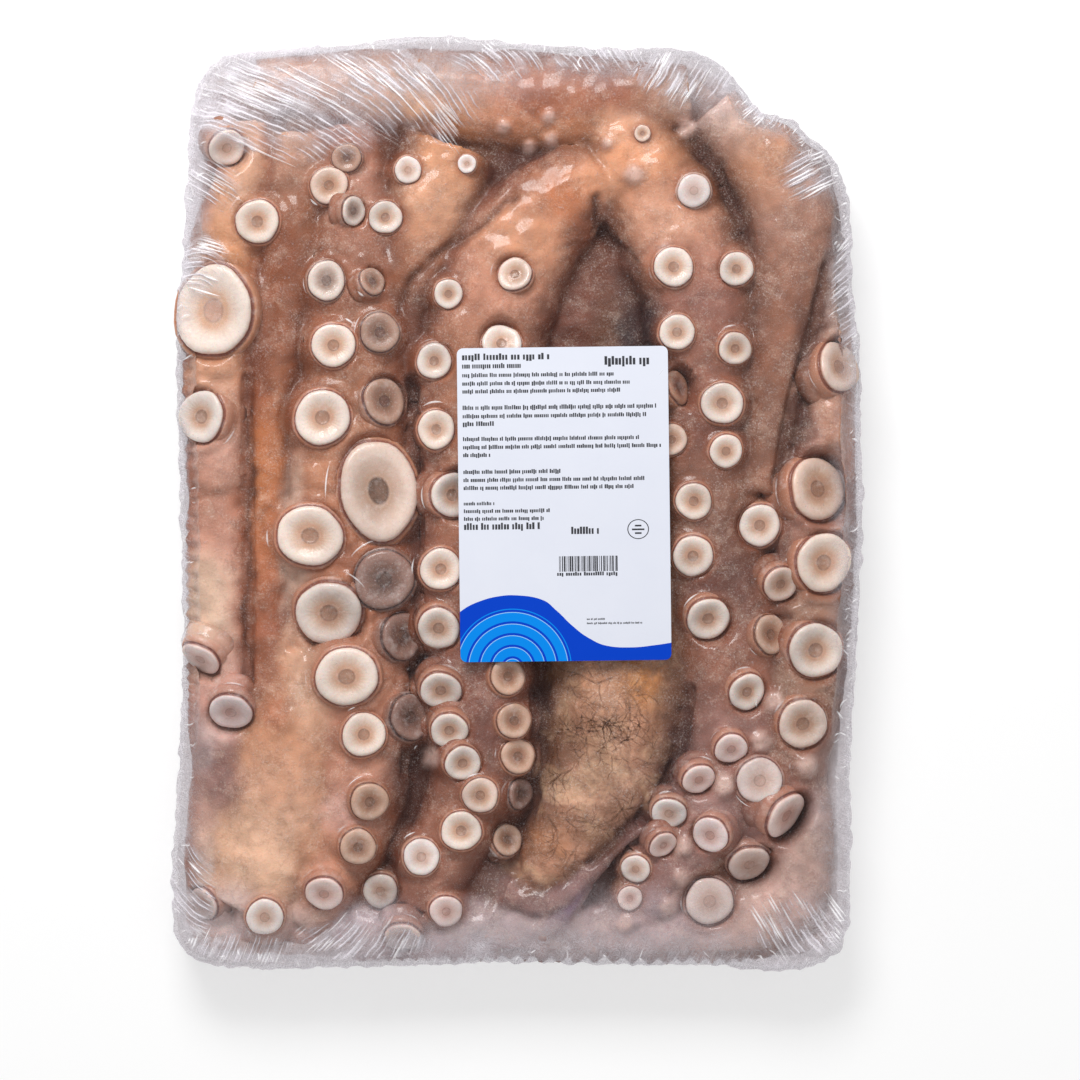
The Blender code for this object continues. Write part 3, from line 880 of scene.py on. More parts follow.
class BlockColours(bpy.types.PropertyGroup):
    """Colours of the block's parts."""

    # Painted shade in the crevices between the arms.
    crevice_shade: colour_property("Crevice", "Between the arms, deep under the film", CREVICE_SHADE)
    root_shade: colour_property("Sucker root", "Skin round the foot of a sucker", ROOT_SHADE)
    bud: colour_property("Bud", "Small suckers that lie shut", "#dcbdb3")
    freckle: colour_property("Freckle", "Fine dark mottling of the skin", "#6f4232")
    vein: colour_property("Vein", "Dark veins on the mantle", "#6b4128")
    ice: colour_property("Ice", "Frosted ice at the margin", "#e6e1e4")
    film: colour_property("Film", "Clear film", "#f3edf4")
    pleat: colour_property("Pleat", "Gathered film where it catches the light", "#fbfafc")
    paper: colour_property("Paper", "The label's paper", "#e0e3ee")
    wave: colour_property("Wave", "The label's blue field", "#0040c4")
    ripple: colour_property("Ripple", "The rings on the blue field", "#0088ea")
    ink: colour_property("Ink", "The label's dark print", "#15161c")
    floor: colour_property("Floor", "The floor and the backdrop", "#bebebe")


def arm_fields(x, y):
    """At each place, for every arm: its share in the top, how far out and how far along it."""
    tops, outs, runs = [], [], []
    for route in ARMS.values():
        stations = along(route, 14 * len(route))
        best = np.full(x.shape, -1e9)
        out, run = np.ones(x.shape), np.zeros(x.shape)
        for number, (sx, sy, half_width, top) in enumerate(stations):
            share = np.hypot(x - sx, y - sy) / half_width
            height = top - 0.62 * half_width * (1 - np.sqrt(np.clip(1 - share**2, 0, 1)))
            height = np.where(share > 1, top - 0.62 * half_width - 6 * (share - 1), height)
            better = height > best
            best = np.where(better, height, best)
            out = np.where(better, share, out)
            run = np.where(better, number / (len(stations) - 1), run)
        tops.append(best)
        outs.append(out)
        runs.append(run)
    tops = np.array(tops)
    weights = np.exp((tops - tops.max(0)) / 1.1)
    return weights / weights.sum(0), outs, runs


def line_distance(x, y, points):
    nearest = np.full(x.shape, 1e9)
    for px, py in along(points, 24 * len(points)):
        nearest = np.minimum(nearest, np.hypot(x - px, y - py))
    return nearest


def paint_skin(obj, colours, seats):
    """Each vertex's colour: its arm's, with painted light on the crown and painted shade down the flanks; the
    stains on it, some of them painted shade; painted shade round the roots of suckers and in the crevices.
    """
    places = places_of(obj.data)
    x, y, z = places.T
    wx = x + 3.5 * lumps(x, y, 17, 5) + 1.5 * clouds(x, y, 5, 8)
    wy = y + 3.5 * lumps(x, y, 17, 6) + 1.5 * clouds(x, y, 5, 9)
    weights, outs, runs = arm_fields(wx, wy)
    skin = np.zeros((len(x), 3))
    for weight, out, run, (shaded_flank, *crown) in zip(weights, outs, runs, ARM_COLOURS.values()):
        stops = np.array([paint_of(code) for code in crown])
        places_along = np.linspace(0, 1, len(stops))
        crown = np.stack([np.interp(run, places_along, stops[:, i]) for i in range(3)], -1)
        # Painted light and shade: each arm is lighter along its crown and darker down its flanks.
        share = ease(0.30, 1.05, out)[:, None]
        skin += weight[:, None] * (crown * (1 - share) + np.array(paint_of(shaded_flank)) * share)
    # Stains and pale places, and painted shade in valleys and creases.
    for px, py, rx, ry, code, amount in SKIN_STAINS_AND_SHADE:
        away = np.hypot((wx - px) / rx, (wy - py) / ry)
        share = (amount * (1 - ease(0.35, 1.35, away)))[:, None]
        skin = skin * (1 - share) + np.array(paint_of(code)) * share
    skin *= (1 + 0.20 * lumps(x, y, 12, 91) + 0.14 * clouds(x, y, 4.2, 93))[:, None]

    # Painted shade: darker the deeper the skin lies under a skin drawn over its tops, and along the creases
    # between arms.
    relief = Relief(obj)
    depth = relief.at(x, y, relief.drawn(160)) - z
    deep = ease(1.5, 13.0, depth) * ease(5, 18, EdgeField(x, y).inside)
    for *points, half_width in SHADE_LINES:
        line = np.exp(-((line_distance(wx, wy, points) / (half_width * 1.2)) ** 2))
        deep = np.maximum(deep, 0.36 * min(half_width, 2.2) * line)
    # Painted shade round the foot of each sucker, weaker on the left edge, and the pale buds.
    root, bud = np.zeros(len(x)), np.zeros(len(x))
    for seat in seats:
        out = seat.out(x, y)
        if seat.is_bud:
            bud = np.maximum(bud, 1 - ease(0.3, 1.15, out + 0.15 * clouds(x, y, 3, 41)))
            continue
        away = (out - 1) * seat.radius
        near = np.exp(-((np.maximum(away, 0) / (1.6 + 0.20 * seat.radius)) ** 2))
        root = np.maximum(root, near * seat.shading)
    share = (0.6 * root)[:, None]
    skin = skin * (1 - share) + np.array(colours.root_shade) * share
    # Painted shade in the crevices and creases.
    share = (0.93 * deep)[:, None]
    skin = skin * (1 - share) + np.array(colours.crevice_shade) * share
    share = (0.7 * bud)[:, None]
    skin = skin * (1 - share) + np.array(colours.bud) * share
    grey = skin.mean(1, keepdims=True)
    keep_paint(obj.data, "skin", grey + (skin - grey) * WARMTH)
    keep_value(obj.data, "mantle", weights[list(ARMS).index("mantle")] * (1 - deep))
    keep_value(obj.data, "deep", deep)


def shape_skin(obj, seats):
    """Swellings under the suckers, hollows in front of them, creases, and the skin's unevenness."""
    places = places_of(obj.data)
    normals = normals_of(obj.data)
    x, y, z = places.T
    swell = 1.7 * lumps(x + 0.6 * z, y - 0.6 * z, 26, 31) + 0.75 * clouds(x + z, y - z, 9.0, 33)
    swell += 0.35 * clouds(x + z, y + z, 4.0, 35)
    up = ease(0.1, 0.7, normals[:, 2]) * ease(20, 30, z)
    for *points, half_width in SHADE_LINES:
        away = line_distance(x, y, points) / max(half_width, 2.4)
        swell -= up * 1.5 * half_width * np.exp(-(away**2))
    mantle = np.exp(-(((x - 44) / 34) ** 4) - ((y + 120) / 62) ** 4)
    ridge = 1 - np.abs(lumps(x + 0.5 * y, y, 15, 44)) * 2.4
    swell += up * mantle * 0.9 * np.clip(ridge, 0, 1)
    places += normals * swell[:, None]

    x, y, z = places.T.copy()
    for seat in seats:
        radius = seat.radius
        near = np.hypot(x - seat.sucker.x, y - seat.sucker.y) < 2.6 * radius
        near &= z > 22
        px, py, pz = x[near], y[near], z[near]
        out, plane = seat.out(px, py), seat.plane(px, py)
        if seat.is_bud:
            z[near] = pz + 0.62 * radius * (1 - ease(0.35, 1.25, out + 0.12 * clouds(px, py, 3, 39)))
            continue
        foot = plane - radius * (0.26 + 0.95 * np.maximum(out - 1.08, 0))
        raised = np.clip(foot - pz, 0, 0.75 * radius) * (1 - ease(1.45, 1.95, out))
        groove = 0.07 * radius * np.exp(-(((out - 1.55) / 0.12) ** 2))
        pz = pz + raised - groove
        hollow = plane - 0.30 * radius + radius * 1.9 * np.maximum(out - 1.0, 0)
        z[near] = np.minimum(pz, np.where(out < 1.9, hollow, pz))
    edge = EdgeField(x, y)
    inset = 3.7 + film_shoulder(z) + 0.4 * np.maximum(z - FILM_TOP, 0) + 0.8 * lumps(y, x, 14, 37)
    push = np.maximum(inset - edge.inside, 0)
    places = np.stack([x + push * edge.inward[:, 0], y + push * edge.inward[:, 1], z], -1)
    put_places(obj.data, places)


def skin_material(colours):
    finish = Finish(
        "octopus_skin", Subsurface_Weight=0.10, Subsurface_Scale=0.003, Coat_Roughness=0.12,
        Specular_IOR_Level=0.22,
    )
    base = finish.attribute("skin", "Color")
    deep = finish.attribute("deep")
    mantle = finish.attribute("mantle")
    blotch = finish.noise(70, 5.0, 0.62)
    mottle = finish.noise(230, 5.0, 0.68, 0.6)
    speckle = finish.noise(760, 4.0, 0.7, 0.4)
    grain = finish.noise(1200, 2.0, 0.6)
    dark = ((mottle - 0.5) * 2.6 + (blotch - 0.5) * 1.4 + (speckle - 0.5) * 1.4).clamped()
    tinted = finish.mix(dark * 0.46, base, solid_colour(colours.freckle))
    pale = ((blotch - 0.5) * 2.4 - (mottle - 0.5) * 2.4).clamped() * (1 - deep)
    tinted = finish.mix(pale * 0.26, tinted, solid_colour(paint_of("#f2d6c2")))
    patch = ((finish.noise(52, 4.0, 0.6, 0.8) - 0.5) * 5.0).clamped() * mantle
    tinted = finish.mix(patch * 0.5, tinted, solid_colour(paint_of("#ecc39c")))
    net = (finish.noise(26, 6.0, 0.68, 0.6) - 0.5).calculate("ABSOLUTE")
    stain = (1 - net * 8.0).clamped() * mantle
    tinted = finish.mix(stain * 0.6, tinted, solid_colour(paint_of("#7d5238")))
    second = (finish.noise(70, 5.0, 0.68, 0.6) - 0.5).calculate("ABSOLUTE")
    veins = (1 - second * 11.0).clamped() * ((mottle - 0.42) * 6.0).clamped() * mantle
    tinted = finish.mix(veins * (1 - patch * 0.5) * 0.4, tinted, solid_colour(colours.vein))
    frost = ((grain - 0.53) * 7.0).clamped() * (0.25 + (blotch - 0.45) * 2.4).clamped()
    tinted = finish.mix(frost * 0.36, tinted, solid_colour(paint_of("#f6e9e2")))
    height = grain * 0.25 + speckle * 0.5 + mottle * 0.9 + blotch * 0.8 - veins * 0.3
    return finish.drive(
        Base_Color=tinted,
        Roughness=(0.38 + (speckle - 0.5) * 0.4 + deep * 0.3).clamped(),
        Coat_Weight=(0.42 + (mottle - 0.5) * 1.4 - deep * 0.6).clamped(),
        Normal=finish.bump(height, 1.0, 0.55),
    )


def vein_material(colours):
    finish = Finish("vein", Roughness=0.5)
    strength = finish.attribute("bright")
    uneven = finish.noise(300, 3.0, 0.6)
    return finish.drive(
        Base_Color=solid_colour(colours.vein),
        Alpha=(strength * (0.26 + (uneven - 0.5) * 0.5)).clamped(),
    )


class BLOCK_OT_octopus(bpy.types.Operator):
    """Grow the octopus's arms, web and mantle as one skin and set its rows of suckers on it"""

    bl_idname = "block.octopus"
    bl_label = "Octopus"

    CUT = 12.0  # the skin ends at this height, in millimetres, on a plainer underside

    def execute(self, context):
        sizes, colours = context.scene.block_sizes, context.scene.block_colours
        solids = [tray_solid(6.0, 1.0, 33.0, 12.0)]
        solids += [arm_solid(route) for route in ARMS.values()]
        step = sizes.flesh_step * 1.0
        obj = remeshed("octopus", solids, step, 2)
        cut_level(obj, self.CUT)
        seats = seat_suckers(Relief(obj))
        shape_skin(obj, seats)
        paint_skin(obj, colours, seats)
        obj.data.shade_smooth()
        ride_and_slot(obj, skin_material(colours))
        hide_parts("wrapped_block")
        self.add_underside(colours)
        self.add_suckers(sizes, [seat for seat in seats if not seat.is_bud], obj)
        return {"FINISHED"}

    def add_underside(self, colours):
        """The flesh's flat side, pressed level on the tray."""
        obj = remeshed("octopus_underside", [tray_solid(5.0, -6.0, self.CUT + 2, 6.0)], 4.0, 1)
        cut_level(obj, 1.2)
        x, y, _ = places_of(obj.data).T
        share = (0.5 + 0.9 * lumps(x, y, 34, 81)).clip(0, 1)[:, None]
        light, dark = np.array(paint_of("#d3a991")), np.array(paint_of("#96634e"))
        keep_paint(obj.data, "skin", light * (1 - share) + dark * share)
        obj.data.shade_smooth()
        ride_and_slot(obj, bpy.data.materials["octopus_skin"])

    def add_suckers(self, sizes, seats, skin):
        sides = sizes.sucker_sides // 1
        templates = {tone: sucker_template(sides, facts[0]) for tone, facts in SUCKER_TONES.items()}
        palette = sucker_palette()
        dice = random.Random(17)
        body = bmesh.new()
        colours = []
        for seat in seats:
            start = len(body.verts)
            tone = seat.sucker.tone
            body.from_mesh(templates[tone])
            body.verts.ensure_lookup_table()
            fresh = body.verts[start:]
            ring = body.verts.layers.float["ring"]
            # Each sucker lighter or darker as a whole at random, and painted shade: darker on one side, the side
            # chosen at random.
            light = 1 + dice.uniform(-0.07, 0.05)
            blush = dice.uniform(-0.03, 0.03)
            side, tilt = dice.uniform(0, math.tau), dice.uniform(0.03, 0.10)
            for vert in fresh:
                r, g, b = palette[tone][int(round(vert[ring]))]
                turn = math.atan2(vert.co.y, vert.co.x)
                shade = light * (1 - tilt + tilt * math.cos(turn - side))
                colours.append((r * (shade + blush), g * shade, b * (shade - blush)))
            ruffle(fresh, dice)
            bmesh.ops.transform(body, matrix=seat.matrix(), verts=fresh)
        bmesh.ops.recalc_face_normals(body, faces=body.faces[:])
        stations = np.array([vert[ring] for vert in body.verts])
        obj = new_piece("suckers", body)
        keep_paint(obj.data, "sucker_paint", blend_roots(obj, skin, np.array(colours), stations))
        ride_and_slot(obj, sucker_material())


class BLOCK_OT_veins(bpy.types.Operator):
    """Branch fine dark veins over the mantle"""

    bl_idname = "block.veins"
    bl_label = "Veins"

    MIDDLE = (41, -122)
    REACH = (25, 46)
    STEMS = 30

    def execute(self, context):
        ribbons = Gatherer(bpy.data.objects["octopus"])
        dice = random.Random(41)
        for _ in range(self.STEMS):
            turn, far = dice.uniform(0, math.tau), math.sqrt(dice.random())
            across = self.REACH[0] * far * math.cos(turn)
            down = self.REACH[1] * far * math.sin(turn)
            x = self.MIDDLE[0] + across + 0.34 * down * (down < 0)
            y = self.MIDDLE[1] + down
            self.grow(ribbons, dice, x, y, dice.uniform(-2.6, 0.2), dice.uniform(12, 30), 0.6, 2)
        obj = new_piece("veins", ribbons.body)
        ride_and_slot(obj, vein_material(context.scene.block_colours))
        return {"FINISHED"}

    def grow(self, ribbons, dice, x, y, heading, length, half_width, forks):
        """One vein that wanders from a place, with thinner ones forking from it."""
        path, stride = [(x, y)], 1.5
        for _ in range(max(4, int(length / stride))):
            heading += dice.gauss(0, 0.22)
            x += math.cos(heading) * stride
            y += math.sin(heading) * stride
            path.append((x, y))
            if forks and dice.random() < 0.36:
                side = dice.choice((-1, 1)) * dice.uniform(0.5, 1.1)
                self.grow(ribbons, dice, x, y, heading + side, length * dice.uniform(0.3, 0.6),
                          half_width * 0.68, forks - 1)
        ribbons.pleat(path, half_width, 0.03, dice.uniform(0.35, 1.0))


def sucker_template(sides, bowl):
    """One sucker of half-width 1, turned from its profile, with its stations marked."""
    body = bmesh.new()
    ring = body.verts.layers.float.new("ring")
    crest = SUCKER_PROFILE[BOWL_STARTS - 1][1]
    chain = []
    for number, (radius, height, _) in enumerate(SUCKER_PROFILE):
        if number >= BOWL_STARTS:
            height = crest + (height - crest) * bowl
        vert = body.verts.new((radius, 0, height))
        vert[ring] = number
        chain.append(vert)
    edges = [body.edges.new(pair) for pair in zip(chain, chain[1:])]
    bmesh.ops.spin(
        body, geom=chain + edges, cent=(0, 0, 0), axis=(0, 0, 1), angle=math.tau, steps=sides,
        use_merge=True, use_duplicate=False,
    )
    bmesh.ops.remove_doubles(body, verts=body.verts[:], dist=1e-5)
    bmesh.ops.recalc_face_normals(body, faces=body.faces[:])
    uv = body.loops.layers.uv.new("turn")
    for face in body.faces:
        middle = face.calc_center_median()
        around = math.atan2(middle.y, middle.x)
        for loop in face.loops:
            co = loop.vert.co
            offset = 0.0
            if co.xy.length > 1e-4:
                offset = math.remainder(math.atan2(co.y, co.x) - around, math.tau)
            loop[uv].uv = ((around + offset) / math.tau, loop.vert[ring] / len(SUCKER_PROFILE))
    mesh = bpy.data.meshes.new("sucker")
    body.to_mesh(mesh)
    body.free()
    return mesh


def ruffle(verts, dice):
    """Makes a turned sucker's round uneven, as flesh is."""
    waves = [(n, dice.uniform(0, math.tau), dice.uniform(0.4, 1.0) * size)
             for n, size in ((2, 0.030), (3, 0.022), (5, 0.012), (8, 0.008))]
    dip = dice.uniform(0, math.tau)
    for vert in verts:
        radius = vert.co.xy.length
        if radius > 1e-4:
            angle = math.atan2(vert.co.y, vert.co.x)
            swell = sum(size * math.sin(n * angle + phase) for n, phase, size in waves)
            vert.co.xy *= 1 + swell * min(1.0, radius * 1.2)
            vert.co.z += 0.035 * math.sin(2 * angle + dip) * radius
            vert.co.z += 0.016 * math.sin(5 * angle + 2 * dip) * radius


def sucker_palette():
    """For each tone, the colour at each station of the profile."""
    palette = {}
    for tone, (_, *codes) in SUCKER_TONES.items():
        parts = dict(zip(TONE_PARTS, (paint_of(code) for code in codes)))
        parts["ring"] = tuple(0.78 * part for part in parts["hole"])
        palette[tone] = [parts[PART_OF_STATION.get(part, part)] for _, _, part in SUCKER_PROFILE]
    return palette


def blend_roots(obj, skin, colours, stations):
    """The suckers' colours with their feet tinted like the skin they stand on, and darker the lower they stand:
    painted shade in the hollows.
    """
    here, there = places_of(obj.data), places_of(skin.data)
    tree = KDTree(len(there))
    for number, place in enumerate(there):
        tree.insert(place, number)
    tree.balance()
    paints = np.empty(len(there) * 4, np.float32)
    skin.data.color_attributes["skin"].data.foreach_get("color", paints)
    paints = paints.reshape(-1, 4)[:, :3]
    nearest = np.array([tree.find(place)[1] for place in here])
    share = (0.75 * (1 - ease(5.0, 11.0, stations)))[:, None]
    colours = colours * (1 - share) + paints[nearest] * share
    # Painted shade: the lower a sucker sits, the darker it is.
    return colours * (1 - 0.35 * ease(8, 18, 52 - here[:, 2]))[:, None]


def sucker_material():
    finish = Finish(
        "sucker_flesh", Subsurface_Weight=0.15, Subsurface_Scale=0.0025, Coat_Roughness=0.12,
        Specular_IOR_Level=0.25,
    )
    base = finish.attribute("sucker_paint", "Color")
    turn = finish.node(
        "ShaderNodeSeparateXYZ", None, {0: finish.node("ShaderNodeUVMap", {"uv_map": "turn"})}
    )
    station = Value(finish, turn.socket.node.outputs[1])
    bowl = (1 - (station - 0.70).calculate("ABSOLUTE") * 8.0).clamped()
    wobble = finish.noise(260, 3.0, 0.6)
    folds = ((turn * (math.tau * 30) + wobble * 12.0).wave() * 0.5 + 0.5) * bowl
    speckle = finish.noise(900, 3.0, 0.65)
    cloud = finish.noise(190, 4.0, 0.65)
    grain = finish.noise(1200, 2.0, 0.6)
    tinted = finish.mix(folds * 0.03, base, solid_colour(paint_of("#b08067")))
    tinted = finish.mix(((cloud - 0.5) * 2.6).clamped() * 0.34, tinted, solid_colour(paint_of("#c2957e")))
    pale = ((0.5 - cloud) * 2.6).clamped() * 0.4
    tinted = finish.mix(pale, tinted, solid_colour(paint_of("#f7ebe6")))
    tinted = finish.mix(((speckle - 0.52) * 4.0).clamped() * 0.16, tinted, solid_colour(paint_of("#94604d")))
    tinted = finish.mix(((grain - 0.58) * 6.0).clamped() * 0.18, tinted, solid_colour(paint_of("#fdf7f3")))
    height = folds * 0.2 + speckle * 0.45 + cloud * 0.9
    return finish.drive(
        Base_Color=tinted,
        Roughness=(0.38 + (speckle - 0.5) * 0.4).clamped(),
        Coat_Weight=(0.3 + (cloud - 0.5) * 1.4).clamped(),
        Normal=finish.bump(height, 0.5, 0.5),
    )


def ice_material(colours):
    finish = Finish(
        "frosted_ice", Coat_Weight=0.3, Coat_Roughness=0.2, IOR=1.31, Emission_Strength=1.0
    )
    frost = finish.noise(110, 5.0, 0.65, 0.6)
    crackle = finish.noise(620, 4.0, 0.7, 1.0)
    inward = finish.attribute("inward")
    line = (1 - (crackle - 0.5).calculate("ABSOLUTE") * 14.0).clamped()
    grey = finish.mix(line * 0.35, solid_colour(colours.ice), solid_colour(paint_of("#a8a0a4")))
    blush = finish.mix(inward * 0.8, grey, solid_colour(paint_of("#a78274")))
    alpha = (0.34 + (frost - 0.5) * 0.7 + line * 0.15 + inward * 0.35).clamped()
    # Painted light: the ice glows at the margin, most at the outline.
    glow = finish.mix((1 - inward) * 0.13, solid_colour((0, 0, 0)), grey)
    return finish.drive(
        Base_Color=blush,
        Roughness=(0.3 + (crackle - 0.5) * 0.4).clamped(),
        Alpha=alpha,
        Emission_Color=glow,
        Normal=finish.bump(frost * 0.7 + crackle * 0.5, 0.8, 0.6),
    )


class BLOCK_OT_ice(bpy.types.Operator):
    """Fill the tray's outline with frosted ice beside the arms"""

    bl_idname = "block.ice"
    bl_label = "Ice"

    def execute(self, context):
        sizes, colours = context.scene.block_sizes, context.scene.block_colours
        obj = remeshed("ice", [tray_solid(1.4, -4.0, sizes.ice_top, 12.0)], 3.0, 1)
        cut_level(obj, 0.6)
        places = places_of(obj.data)
        normals = normals_of(obj.data)
        x, y, z = places.T
        inside = EdgeField(x, y).inside
        swell = 0.7 * lumps(x + z, y - z, 14, 51) + 0.3 * clouds(x - z, y + z, 4, 53)
        swell *= ease(1.0, 6.0, z)
        places += normals * swell[:, None]
        places[:, 2] -= 14 * ease(10, 24, inside) * ease(18, 26, z)
        put_places(obj.data, places)
        keep_value(obj.data, "inward", ease(5.0, 13.0, inside))
        obj.data.shade_smooth()
        ride_and_slot(obj, ice_material(colours))
        return {"FINISHED"}


def label_height(x, y):
    """The label's underside, in millimetres: level in the middle and easing down to its edges."""
    lift = bpy.context.scene.block_sizes.label_lift / MM
    top = BLOCK_HIGH.z / MM - 0.35
    middle = (LABEL_LOW + LABEL_HIGH) / 2 / MM
    u = (np.asarray(x) - middle.x) / 50.5
    v = (np.asarray(y) + PLAN_SHIFT_Y - middle.y) / 75.5
    return top + lift - 0.45 * np.abs(u) ** 3 - 0.5 * np.abs(v) ** 4 + 0.12 * np.sin(v * 5 + u * 2)


def under_label(x, y, margin=1.0):
    u = np.abs(np.asarray(x) - (LABEL_LOW.x + LABEL_HIGH.x) / 2 / MM)
    v = np.abs(np.asarray(y) + PLAN_SHIFT_Y - (LABEL_LOW.y + LABEL_HIGH.y) / 2 / MM)
    return (1 - ease(50.5 - margin, 55.0, u)) * (1 - ease(75.5 - margin, 81.0, v))


def margin_cloud(x, y, inside):
    """How much the film is crinkled and clouded: strongly at the margin, hardly inside it."""
    uneven = lumps(x, y, 9, 61)
    width = 8.5 + 3.4 * clouds(x, y, 30, 63)
    width = width * (1 - 0.5 * ease(-145, -155, x) * ease(130, 90, y) * ease(-190, -170, y))
    rim = 1 - ease(0.25 * width, 1.75 * width, inside + 4.0 * uneven)
    brink = 0.95 * (1 - ease(1.0, 6.0, inside + 2.0 * uneven))
    corners = 0.0
    for cx, cy, rx, ry, amount in (
        (-148, 204, 36, 30, 0.95), (-104, 200, 62, 26, 0.62), (-40, 210, 70, 18, 0.6),
        (50, 213, 50, 13, 0.6), (92, 206, 26, 19, 0.75), (148, 166, 18, 24, 0.7),
        (163, 110, 10, 54, 0.6), (150, -208, 28, 24, 0.8), (-152, -212, 28, 17, 0.7),
        (0, -217, 170, 15, 0.8), (-161, 146, 14, 40, 0.7), (-161, -150, 9, 60, 0.5),
        (158, -165, 14, 56, 0.7), (-70, -206, 28, 16, 0.6), (160, 0, 8, 90, 0.45),
        (60, -200, 60, 18, 0.35), (-150, 96, 16, 16, 0.35),
    ):
        away = np.hypot((x - cx) / rx, (y - cy) / ry)
        corners = np.maximum(corners, amount * (1 - ease(0.2, 1.3, away + 0.35 * uneven)))
    veiled = np.maximum(rim * 0.8, corners) * (0.85 + 0.5 * uneven)
    return np.clip(np.maximum(brink, veiled), 0, 1)


def film_shoulder(z):
    """How far the film's rounded edge has drawn inwards at a height, in millimetres."""
    rise = np.clip(z - (FILM_TOP - FILM_EDGE), 0, FILM_EDGE)
    return FILM_EDGE - np.sqrt(FILM_EDGE**2 - rise**2)


def pleat_bands(finish, across, run, along_scale, sharpness):
    """Parallel ridges and the troughs beside them, one for each whole number across: masks for painted
    highlights on the ridges and painted shade in the troughs.
    """
    number = across.calculate("FLOOR")
    share = across - number
    spot = finish.node(
        "ShaderNodeCombineXYZ", None, {0: number * 3.17, 1: run * along_scale + number * 0.61}
    )
    lit = ((finish.noise(1.0, 2.0, 0.6, 0.0, spot) - 0.42) * 6.0).clamped()
    ridge = (1 - (share - 0.5).calculate("ABSOLUTE") * sharpness).clamped()
    trough = (1 - (share - 0.14).calculate("ABSOLUTE") * 2.0 * sharpness).clamped()
    return ridge * lit, trough * lit


def film_material(colours):
    finish = Finish("clear_film", IOR=1.5, Specular_IOR_Level=0.35, Emission_Strength=1.0)
    cloud = finish.attribute("cloud")
    gather = finish.attribute("gather")
    glow = finish.attribute("glow")
    place = finish.place()
    wobble = finish.noise(36, 3.0, 0.6)
    across = finish.attribute("across") + (wobble - 0.5) * 2.2
    run = finish.attribute("run")
    fine_pleat, valley = pleat_bands(finish, across, run, 0.055, 4.2)
    broad_pleat, trough = pleat_bands(finish, across * 0.36 + 0.4, run, 0.03, 2.4)
    pleat = fine_pleat * gather
    broad = broad_pleat * gather
    dark = (valley * 0.8 + trough * 0.6) * gather
    fine = finish.noise(900, 3.0, 0.6, 1.5, place)
    folds = finish.noise(170, 5.0, 0.62, 4.0, place)
    crease = (1 - (folds - 0.5).calculate("ABSOLUTE") * 12.0).clamped()
    glint = (1 - (fine - 0.5).calculate("ABSOLUTE") * 9.0).clamped()
    # Painted light and shade on the film: sparkle is tiny painted glints, bright is painted highlights on the
    # pleats, creases and glints, shade is painted shade in the pleats' troughs, and lit makes the clouded margin
    # and the top left glow.
    sparkle = ((finish.noise(620, 2.0, 0.5, 0.0, place) - 0.66) * 14.0).clamped()
    veil = (0.6 + (finish.noise(60, 4.0, 0.6) - 0.5) * 2.2).clamped() * cloud
    bright = (pleat * 0.9 + broad * 0.35 + crease * cloud * 0.6 + glint * cloud * 0.3).clamped()
    alpha = (0.012 + veil * (0.56 + glow * 0.3) + crease * cloud * 0.36 + glint * cloud * 0.16 + crease * 0.012
             + pleat * 0.8 + broad * 0.34 + dark * 0.24 + sparkle * 0.16).clamped()
    shade = (dark * 0.9 + cloud * 0.05 - bright).clamped()
    lit = (bright * 0.22 + glow * 0.16 * (1 - dark) + cloud * 0.14).clamped()
    return finish.drive(
        Base_Color=finish.mix(shade, solid_colour(colours.film), solid_colour(paint_of("#8b7468"))),
        Roughness=(0.14 + cloud * 0.16).clamped(),
        Alpha=alpha,
        Emission_Color=finish.mix(lit, solid_colour((0, 0, 0)), solid_colour(colours.film)),
        Normal=finish.bump(crease * cloud + glint * 0.25 + folds * 0.4 + pleat + broad, 1.2, 0.8),
    )


class BLOCK_OT_film(bpy.types.Operator):
    """Draw the clear film tight over everything"""

    bl_idname = "block.film"
    bl_label = "Film"

    def execute(self, context):
        sizes, colours = context.scene.block_sizes, context.scene.block_colours
        contents = [bpy.data.objects[name] for name in ("octopus", "suckers", "ice")]
        relief = Relief(*contents)
        skin = relief.drawn(60)
        step = sizes.film_step * 1.0
        obj = remeshed("film", [tray_solid(0.4, -4.0, FILM_TOP, FILM_EDGE)], step, 1)
        cut_level(obj, 0.2)
        places = places_of(obj.data)
        normals = normals_of(obj.data)
        x, y, z = places.T
        gathers = Gathers(x, y)
        up = ease(0.15, 0.6, normals[:, 2]) * ease(14, 20, z)
        clear = 0.45 + 1.0 * (1 - ease(5, 15, gathers.inside))
        height = np.maximum(relief.at(x, y, skin) + clear, z)
        pressed = under_label(x, y)
        height = height * (1 - pressed) + np.minimum(label_height(x, y) - 0.15, 54.2) * pressed
        cloud = margin_cloud(x, y, gathers.inside)
        height += (0.9 * clouds(x, y, 3.4, 71) + 0.6 * clouds(y, x, 6.0, 73)) * cloud
        places[:, 2] = z * (1 - up) + height * up
        sway = (1.2 * clouds(x * 2 + y, z * 0.6, 7.0, 75) + 0.8 * clouds(y * 2 - x, z, 3.2, 77))
        sway *= (1 - up) * ease(1.0, 5.0, z)
        places[:, :2] += normals[:, :2] * sway[:, None]
        put_places(obj.data, places)
        keep_value(obj.data, "cloud", cloud)
        # Painted light: the film glows more towards the top left corner.
        keep_value(obj.data, "glow", 1 - ease(30, 130, np.hypot(x + 165, (y - 225) * 0.8)))
        keep_value(obj.data, "gather", gathers.strength)
        keep_value(obj.data, "across", gathers.across)
        keep_value(obj.data, "run", gathers.along)
        obj.data.shade_smooth()
        ride_and_slot(obj, film_material(colours))
        return {"FINISHED"}


